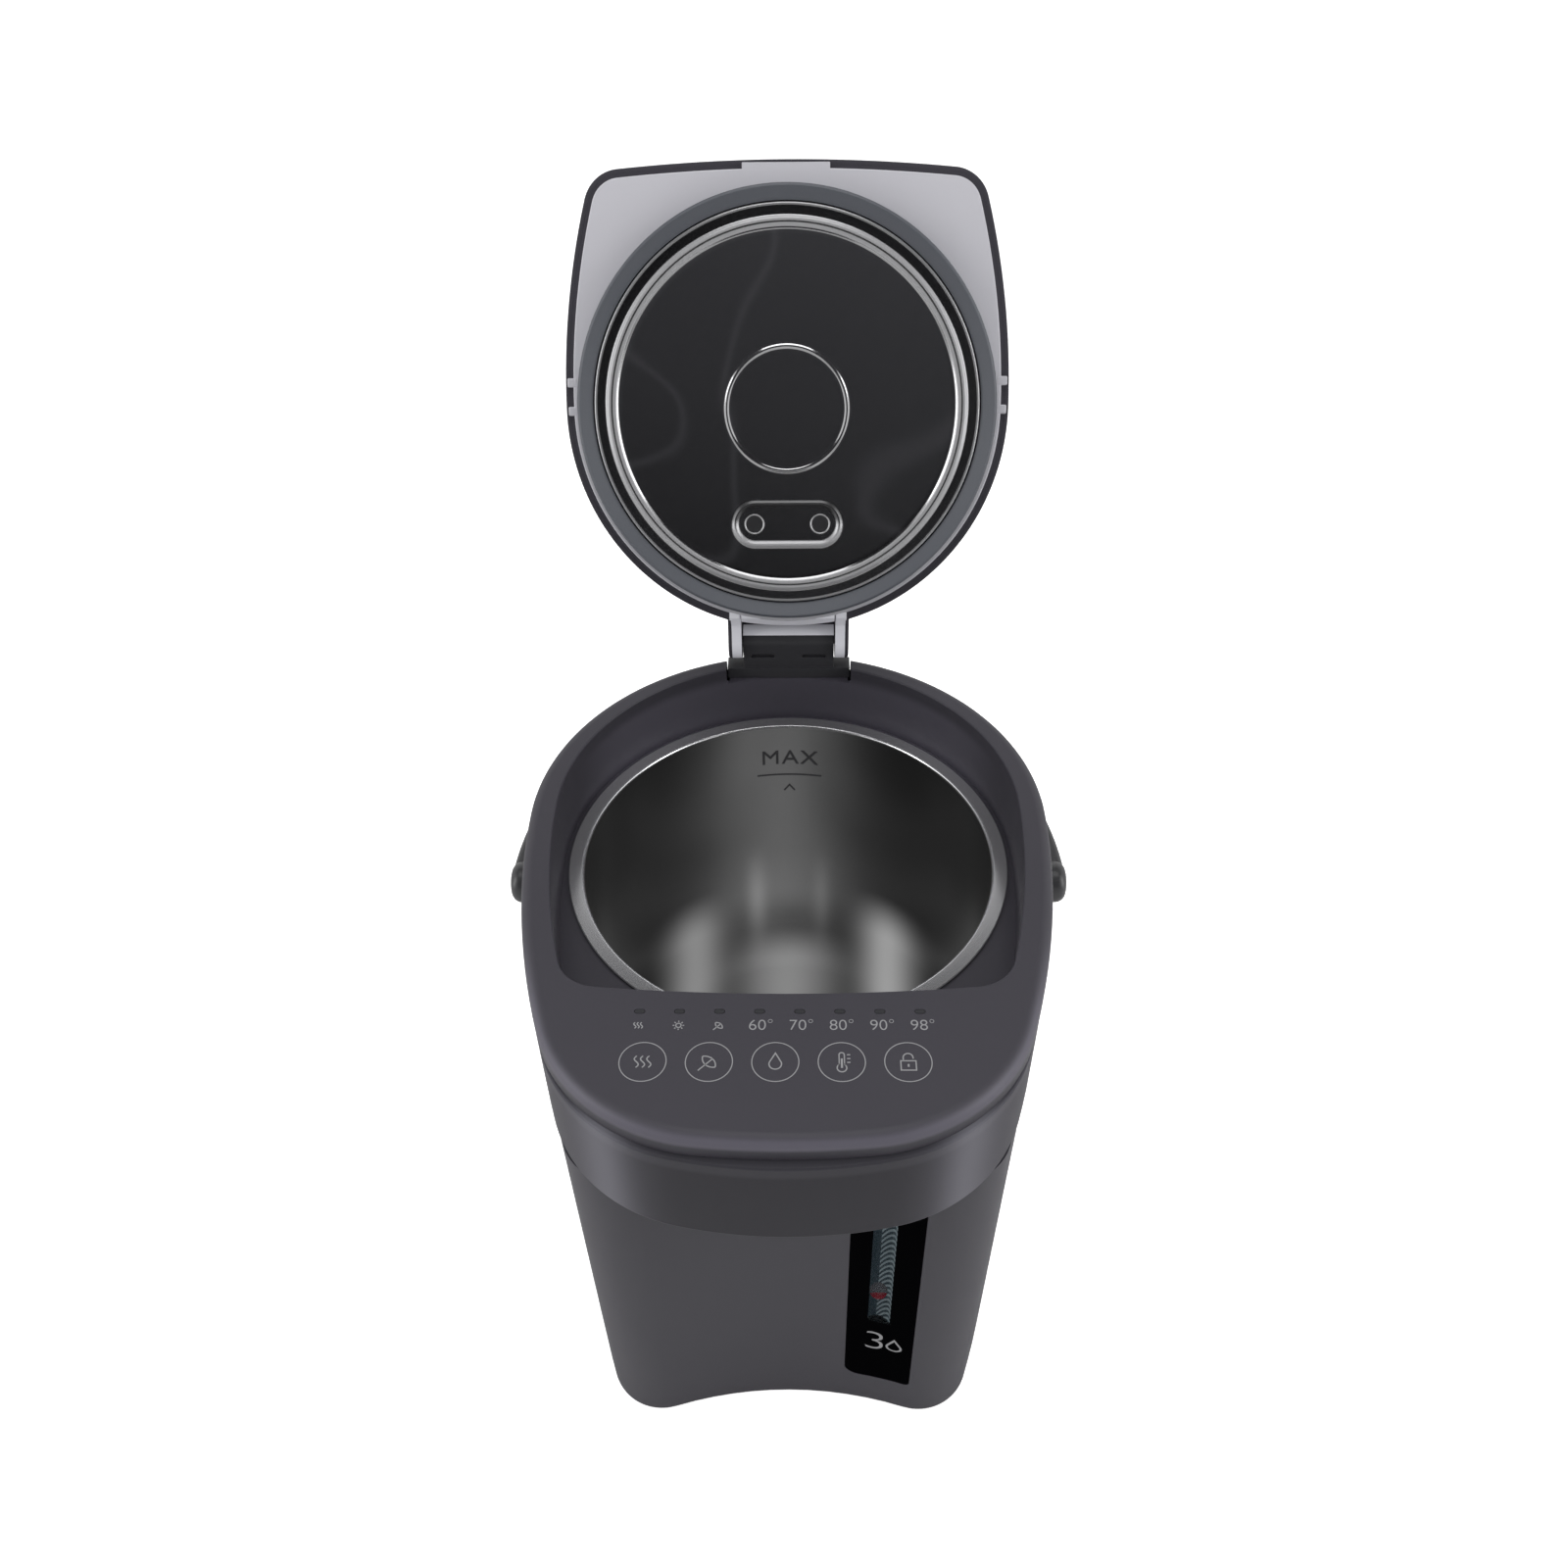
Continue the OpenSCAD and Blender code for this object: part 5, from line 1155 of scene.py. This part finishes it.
def neck_facing():
    """Light facing of the neck: both arms, and the plate that slopes in between them."""
    outer = [(88.0, 234.7), (90.6, 234.7), (92.0, 236.6), (92.2, 244.7), (96.2, 250.5), (97.3, 251.35),
             (100.6, 252.1)] + arc((HINGE_Y, HINGE_Z), KNUCKLE + 0.12, -90, -18, 16)
    inner = [(88.0, 236.6), (89.0, 236.6), (90.2, 238.0), (90.4, 245.6), (95.4, 251.6), (97.3, 252.5),
             (100.6, 253.2)] + arc((HINGE_Y, HINGE_Z), KNUCKLE - 0.9, -90, -18, 16)
    parts = [soften(across("facing", outer + inner[::-1], *xs), 0.2) for xs in ((-26.3, -21.7), (21.7, 26.3))]
    slope = [(88, 234.7), (90.8, 234.7), (95.8, 244.0), (95.8, 246.0), (90.2, 236.6), (88, 236.6)]
    tongue = across("tongue", slope, -BLOCK + 0.2, BLOCK - 0.2)
    parts.append(combine(tongue, prism("tongue_room", lid_ring(0.5), PANEL_Z - 1, 250), "INTERSECT"))
    return joined("neck_facing", parts)


def knuckle_cover():
    """Light cover over the middle knuckle of the hinge."""
    ring = arc((HINGE_Y, HINGE_Z), 6.58, 15, 131, 28) + arc((HINGE_Y, HINGE_Z), 6.3, 131, 15, 28)
    return across("knuckle_cover", ring, -BLOCK + 0.05, BLOCK - 0.05)


def lid_seal():
    """Conical rubber seal round the steel plate."""
    z, back = RIM_Z, PANEL_Z - 0.05
    outline = [(PLATE_R + 0.6, PLATE_Z + 1.2)]
    outline += [(POT_R + dr, z + dz) for dr, dz in ((-0.5, 0.45), (0.1, 0.6), (0.55, 1.0), (0.75, 1.7),
                                                    (0.85, 3.9), (0.1, 4.8), (-1.3, 6.2), (-2, 7))]
    outline += [(POT_R - 2, back), (PLATE_R + 1.4, back), (PLATE_R + 1.4, z + 6), (PLATE_R + 0.6, z + 5)]
    return lathe("lid_seal_ring", outline, 192)


def lid_dish():
    """Polished steel plate with its bead, its round and its oblong emboss."""
    rise, t, ring_r, ring_half, ring_h, n = 1.2, 0.8, 25.5, 1.35, 0.42, 14
    flat = PLATE_R - t
    below = [(r, PLATE_Z) for r in (0, 8, 16, 22)]
    below += [(ring_r + ring_half * (-1 + 2 * i / n), PLATE_Z - ring_h * math.sin(math.pi * i / n) ** 2)
              for i in range(n + 1)]
    below += [(r, PLATE_Z - h) for r, h in ((30, 0), (50, 0), (69, 0), (70.8, 0), (71.6, 0.35), (72.2, 1.0),
                                            (72.9, rise), (74.9, rise), (75.6, 1.0), (76.2, 0.35), (77.0, 0),
                                            (flat, 0))]
    below += [(flat + t * math.sin(a), PLATE_Z + t - t * math.cos(a)) for a in quarter(5)[1:]]
    above = [(PLATE_R, PLATE_Z + 5), (flat, PLATE_Z + 5), (flat, PLATE_Z + t), (0, PLATE_Z + t)]
    ob = lathe("lid_dish", below + above, 192)
    combine(ob, oblong_bead(stadium(45, 17.4, 20, 0, VENT_Y)), "UNION")
    for x in (-VENT_X, VENT_X):
        combine(ob, drum("vent_hole", x, VENT_Y, PLATE_Z - 5, PLATE_Z + 15, VENT_R, 48))
    return ob


def oblong_bead(path, steps=9, half=1.7, height=0.85, sink=0.3):
    """Rounded bead along a closed path, its foot sunk into the plate's lower face."""
    n = len(path)
    verts, faces = [], []
    for i, p in enumerate(path):
        a, b = path[i - 1], path[(i + 1) % n]
        t = Vector((b[0] - a[0], b[1] - a[1])).normalized()
        side = Vector((t.y, -t.x))
        for j in range(steps):
            q = -1 + 2 * j / (steps - 1)
            foot = sink if 0 < j < steps - 1 else 0.0
            verts.append((p[0] + side.x * half * q, p[1] + side.y * half * q,
                          PLATE_Z + sink - foot - height * math.cos(math.pi / 2 * q) ** 2))
        a, b = i * steps, (i + 1) % n * steps
        faces += [(a + j, a + (j + 1) % steps, b + (j + 1) % steps, b + j) for j in range(steps)]
    return tidy(make("oblong_bead", verts, faces))


def vent_discs():
    """Two round steam vents, each with a fine raised rim."""
    outline = [(r, PLATE_Z + z) for r, z in ((0, 0.1), (3.7, 0.1), (3.9, -0.05), (4.0, -0.1), (4.2, -0.1),
                                             (4.36, 0.02), (4.36, 4.5), (0, 4.5))]
    parts = []
    for x in (-VENT_X, VENT_X):
        disc = lathe("vent", outline, 64)
        disc.data.transform(Matrix.Translation((x, VENT_Y, 0)))
        parts.append(disc)
    return joined("vent_pair", parts)


def bail(s):
    """Carrying bail with its round ends."""
    bar = tidy(grown("bail_bar", swept_bail_tree(), {
        "Half Span": BAIL_HALF_SPAN, "Reach": BAIL_REACH, "Pivot Y": PIVOT_Y, "Pivot Z": PIVOT_Z,
        "Bar Width": s.bail_width / MM, "Bar Height": s.bail_height / MM, "Material": finish("bail")}))
    outline = [(0, 111.9), (8.5, 111.9), (9.0, 112.4), (9.0, 116.6), (8.85, 117.8), (8.4, 118.9),
               (7.7, 119.8), (6.7, 120.5), (5.4, 120.9), (3.5, 121.05), (0, 121.1)]
    pivot = Matrix.Translation((0, PIVOT_Y, PIVOT_Z))
    for side in (-1, 1):
        end = lathe("bail_end", outline, 72)
        end.data.transform(pivot @ Matrix.Rotation(side * math.pi / 2, 4, "Y"))
        combine(bar, tidy(end), "UNION")
        combine(bar, rod("pivot_bore", *sorted((side * 106.0, side * 119.3)), PIVOT_Y, PIVOT_Z, 4.06))
    return bar


def dressed_nodes():
    """Each CAD node that stays as it is, with the name of its finish."""
    looks = {
        "seal": "nozzle_seal pot_gasket",
        "pads": "base_pads",
        "sheet": "heat_shield",
        "aluminium": "heating_plate",
        "dark": "bottom_cover thermostat temperature_sensor power_inlet",
        "ceramic": "thermal_fuse",
        "hose": "outlet_hose riser_hose spout_hose",
        "white": "pump_housing steam_duct",
        "foam": "lid_insulation",
        "black": "pump_impeller board_components",
        "board": "control_board power_board",
        "cable": "wiring_harness",
        "brass": "warming_band inlet_pins",
        "plain_steel": "base_screws pump_motor touch_springs latch_spring "
                       "hinge_pin hinge_screws pivot_nuts lid_screws",
    }
    return [(node, look) for look, nodes in looks.items() for node in nodes.split()]


# ---------- operators ----------

def sizes():
    return bpy.context.scene.thermo_pot_sizes


class MakeCasing(bpy.types.Operator):
    """Make the casing, the deck and the spout head"""
    bl_idname = "thermo_pot.casing"
    bl_label = "Casing and Deck"

    def execute(self, context):
        finished(casing_shell(), "casing", "body", ["outer_shell"])
        finished(deck_cover(sizes()), "deck", "body", ["top_cover"])
        finished(spout_head(), "head", "body", ["spout_head"])
        refined("spout_nozzle", "nozzle", "dark", "body", 0.4)
        return {"FINISHED"}


class MakePot(bpy.types.Operator):
    """Make the steel pot and its fill mark"""
    bl_idname = "thermo_pot.pot"
    bl_label = "Steel Pot"

    def execute(self, context):
        finished(inner_pot(), "pot", "body", ["inner_pot"])
        finished(full_mark(), "mark", "body")
        return {"FINISHED"}


class MakeLid(bpy.types.Operator):
    """Make the lid with its lining, seal, steel plate, latch and steam cap"""
    bl_idname = "thermo_pot.lid"
    bl_label = "Lid"

    def execute(self, context):
        finished(lid_shell(), "casing", "lid", ["lid_cover"], lid=True)
        finished(lid_lining(), "lining", "lid", ["lid_panel"], lid=True)
        finished(neck_facing(), "facing", "lid", lid=True)
        finished(lid_seal(), "seal", "lid", ["lid_seal"], lid=True)
        finished(lid_dish(), "plate", "lid", ["lid_plate"], lid=True)
        finished(vent_discs(), "vent", "lid", ["vent_bushes"], lid=True)
        refined("steam_cap", "steam_cap_grille", "dark", "lid", 0.4)
        refined("lid_latch", "latch_tab", "lining", "latch", 0.5, 3)
        return {"FINISHED"}


class MakeHinge(bpy.types.Operator):
    """Make the hinge block, the pivot bosses and the carrying bail"""
    bl_idname = "thermo_pot.hinge"
    bl_label = "Hinge and Bail"

    def execute(self, context):
        refined("hinge_block", "hinge_block_cover", "dark", "body", 0.5, 3)
        finished(knuckle_cover(), "facing", "body")
        refined("pivot_bosses", "pivot_boss_pair", "casing", "body", 0.5, 3)
        finished(bail(sizes()), "bail", "handle", ["bail_handle"])
        return {"FINISHED"}


class MakeGauge(bpy.types.Operator):
    """Make the level gauge with its gloss panel, window, tube, film and float"""
    bl_idname = "thermo_pot.gauge"
    bl_label = "Level Gauge"

    def execute(self, context):
        x0, x1, z1 = SLOT_X - SLOT_W / 2, SLOT_X + SLOT_W / 2, HEAD_Z - SEAM
        panel = gauge_skin(gauge_prism("gauge_face", SEAM, z1), 0.05, 1.4)
        combine(panel, box("slot", x0, x1, -180, -100, SLOT_Z0, 260))
        finished(soften(panel, 0.2), "gauge", "body", ["gauge_panel"])
        window = box("gauge_glazing", x0 + 0.05, x1 - 0.05, -180, -100, SLOT_Z0 + 0.05, z1)
        finished(gauge_skin(window, 0.15, 1.4), "window", "body", ["gauge_window"])
        ends = [(TUBE_BORE, TUBE_Z0), (TUBE_R, TUBE_Z0), (TUBE_R, HEAD_Z + 10), (TUBE_BORE, HEAD_Z + 10)]
        finished(in_gauge(lathe("sight_tube", ends, 64)), "tube", "body", ["gauge_tube"])
        back = arc((0, 0), TUBE_R + 0.55, 0, 180, 24) + arc((0, 0), TUBE_R + 0.25, 180, 0, 24)
        film = prism("gauge_film", [(SLOT_X + x, -TUBE_Y + y) for x, y in back], SLOT_Z0 - 24, HEAD_Z - 1)
        finished(film, "film", "body")
        lens = [(0, 86.6), (2.6, 86.7), (3.9, 87.4), (2.6, 88.1), (0, 88.2)]
        bob = finished(in_gauge(lathe("float_bob", lens, 48)), "red", "float", ["level_float"])
        bob.visible_shadow = False
        return {"FINISHED"}


class MakePrinting(bpy.types.Operator):
    """Make the lights, the key rings, the icons and the numbers"""
    bl_idname = "thermo_pot.printing"
    bl_label = "Lights and Printing"

    def execute(self, context):
        s = sizes()
        z0, z1 = DECK_Z + 0.01, DECK_Z + 0.01 + s.ink / MM
        pitch, key = s.light_pitch / MM, s.key_pitch / MM
        lights = grown("light_pipes", light_row_tree(), {
            "Pitch": pitch, "Start": (-3.5 * pitch + LIGHT_SHIFT, LIGHT_Y, LIGHT_Z0),
            "Material": finish("pipe")})
        finished(lights, "pipe", "body", ["indicator_lights"])
        rings = grown("key_rings", ring_row_tree(), {
            "Pitch": key, "Radius": s.ring_radius / MM, "Line": s.ring_line / MM, "Ink": s.ink / MM,
            "Start": (-2 * key + KEY_SHIFT, KEY_Y, (z0 + z1) / 2), "Material": finish("ink")})
        finished(rings, "ink", "body")
        lines = []
        for i, icon in enumerate((steam, leaf, drop, thermometer, padlock)):
            lines += icon((i - 2) * key + KEY_SHIFT, KEY_Y, 1.15, 0.45)
        for i, icon in enumerate((steam, sun, leaf)):
            lines += icon((i - 3.5) * pitch + LIGHT_SHIFT, ICON_Y, 0.62, 0.4)
        parts = [strokes("icons", lines, z0, z1)]
        for i, word in enumerate(("60°", "70°", "80°", "90°", "98°")):
            parts.append(lettering("number", word, 6.6, (i - 0.5) * pitch - 1.4, ICON_Y, z0, z1, thin=0.07))
        finished(joined("panel_icons", parts), "ink", "body", weighted=False)
        face = strokes("capacity_drop", drop(45.9, 60.0, 1.6, 0.95), -PRINT_SINK, 0.05)
        word = lettering("capacity", "3", 23.0, 37.6, 60.6, -PRINT_SINK, 0.05, thin=0.42)
        mark = on_front(joined("capacity_mark", [face, word]))
        finished(mark, "ink", "body", weighted=False)
        return {"FINISHED"}


def on_front(ob):
    """Bends a flat piece, drawn in (x, height) and risen in z, onto the casing's hollow front."""
    for v in ob.data.vertices:
        x, h, rise = v.co
        front = -(FRONT_Y + HOLLOW_R) + math.sqrt(HOLLOW_R * HOLLOW_R - x * x)
        v.co = (x, front - rise, h)
    return ob


def in_gauge(ob):
    ob.data.transform(Matrix.Translation((SLOT_X, -TUBE_Y, 0)))
    return ob


class DressWorks(bpy.types.Operator):
    """Give the works inside, the base and the screws their finishes"""
    bl_idname = "thermo_pot.works"
    bl_label = "Works and Base"

    def execute(self, context):
        for node, look in dressed_nodes():
            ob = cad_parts[node]
            ob.data.materials.clear()
            ob.data.materials.append(finish(look))
        return {"FINISHED"}


class MakeStage(bpy.types.Operator):
    """Make the floor, the lamps, the world and the camera"""
    bl_idname = "thermo_pot.stage"
    bl_label = "Stage"

    def execute(self, context):
        half, z, white = 6, -0.0004, (1, 1, 1, 1)
        corners = [(-half, -half, z), (half, -half, z), (half, half, z), (-half, half, z)]
        floor = make("floor", corners, [(0, 1, 2, 3)])
        w = new_material("Floor", Roughness=0.9, Specular_IOR_Level=0.1)
        w.paint({"Base Color": w.mix(w.noise(300.0), (0.90, 0.90, 0.90, 1), (0.93, 0.93, 0.93, 1)),
                 "Emission Strength": w.out("ShaderNodeLightPath", output="Is Camera Ray") * 0.75,
                 "Emission Color": white})
        floor.data.materials.append(w.material)

        world = bpy.data.worlds.new("Studio")
        context.scene.world = world
        world.use_nodes = True
        w = Wiring(world.node_tree)
        path = w.outs("ShaderNodeLightPath")
        mirrored = w.math("MAXIMUM", path["Is Glossy Ray"], path["Is Transmission Ray"])
        seen = w.math("MAXIMUM", path["Is Camera Ray"], mirrored)
        w.feed(world.node_tree.nodes["Background"], {"Strength": 0.5 + seen * 0.5, "Color": white})

        self.flag("front_flag", [(-1.5, -1.9, 0.45), (1.5, -1.9, 0.45), (1.5, -1.9, 2.2), (-1.5, -1.9, 2.2)])
        self.flag("top_flag", [(-1.7, -1.9, 2.2), (1.7, -1.9, 2.2), (1.7, 1.9, 2.2), (-1.7, 1.9, 2.2)])
        self.lamp(context, "top_softbox", (0.0, 0.0, 1.8), (0, 0, 0.2), 1.0, 0.8, 8)
        self.lamp(context, "left_strip", (-1.5, -0.5, 0.8), (0, 0, 0.15), 0.5, 1.4, 9)
        self.lamp(context, "right_strip", (1.5, -0.5, 0.8), (0, 0, 0.15), 0.5, 1.4, 9)
        self.camera(context)
        context.scene.view_settings.view_transform = "Standard"
        return {"FINISHED"}

    def lamp(self, context, name, place, aim, w, h, power):
        data = bpy.data.lights.new(name, "AREA")
        data.shape, data.size, data.size_y, data.energy = "RECTANGLE", w, h, power
        ob = bpy.data.objects.new(name, data)
        ob.location = place
        ob.rotation_euler = (Vector(aim) - Vector(place)).to_track_quat("-Z", "Y").to_euler()
        context.scene.collection.objects.link(ob)

    def flag(self, name, corners):
        """Dark flag that the metal shows, out of the camera's sight and of the light's way."""
        ob = make(name, corners, [(0, 1, 2, 3)])
        w = new_material("Flag", Roughness=0.9, Specular_IOR_Level=0.0)
        w.paint({"Base Color": w.mix(w.noise(1.3, 3.0), (0.01, 0.01, 0.012, 1), (0.10, 0.10, 0.105, 1))})
        ob.data.materials.append(w.material)
        ob.visible_camera = ob.visible_diffuse = ob.visible_shadow = ob.visible_transmission = False

    def camera(self, context):
        place, focal, picture, sensor = (0.005914, -0.414949, 0.641703), 1385.29, 1600, 36.0
        pitch, yaw, roll = math.radians(42.28), math.radians(-0.99), math.radians(-0.76)
        ahead = Vector((math.sin(yaw) * math.cos(pitch), math.cos(yaw) * math.cos(pitch), -math.sin(pitch)))
        right = Vector((math.cos(yaw), -math.sin(yaw), 0.0))
        up = right.cross(ahead)
        c, s = math.cos(roll), math.sin(roll)
        right, up = c * right + s * up, -s * right + c * up
        data = bpy.data.cameras.new("camera")
        data.sensor_width, data.lens = sensor, focal * sensor / picture
        data.clip_start, data.clip_end = 0.01, 50.0
        ob = bpy.data.objects.new("camera", data)
        ob.matrix_world = Matrix.Translation(place) @ Matrix((right, up, -ahead)).transposed().to_4x4()
        context.scene.collection.objects.link(ob)
        context.scene.camera = ob


class ThermoPotPanel(bpy.types.Panel):
    """Sizes, colours and pieces of the thermo pot"""
    bl_idname = "VIEW3D_PT_thermo_pot"
    bl_label = "Thermo Pot"
    bl_space_type = "VIEW_3D"
    bl_region_type = "UI"
    bl_category = "Thermo Pot"

    def draw(self, context):
        for settings in (context.scene.thermo_pot_sizes, context.scene.thermo_pot_colours):
            column = self.layout.column(align=True)
            for key in settings.__annotations__:
                column.prop(settings, key)
        column = self.layout.column(align=True)
        for operator in OPERATORS:
            column.operator(operator.bl_idname)


OPERATORS = (MakeCasing, MakePot, MakeLid, MakeHinge, MakeGauge, MakePrinting, DressWorks, MakeStage)
CLASSES = (ThermoPotSizes, ThermoPotColours, *OPERATORS, ThermoPotPanel)


def register():
    for cls in CLASSES:
        bpy.utils.register_class(cls)
    bpy.types.Scene.thermo_pot_sizes = bpy.props.PointerProperty(type=ThermoPotSizes)
    bpy.types.Scene.thermo_pot_colours = bpy.props.PointerProperty(type=ThermoPotColours)


def unregister():
    del bpy.types.Scene.thermo_pot_colours
    del bpy.types.Scene.thermo_pot_sizes
    for cls in reversed(CLASSES):
        bpy.utils.unregister_class(cls)


def main():
    register()
    for operator in OPERATORS:
        area, name = operator.bl_idname.split(".")
        if getattr(getattr(bpy.ops, area), name)() != {"FINISHED"}:
            raise RuntimeError(f"{operator.bl_label} didn't finish")


if __name__ == "__main__":
    main()
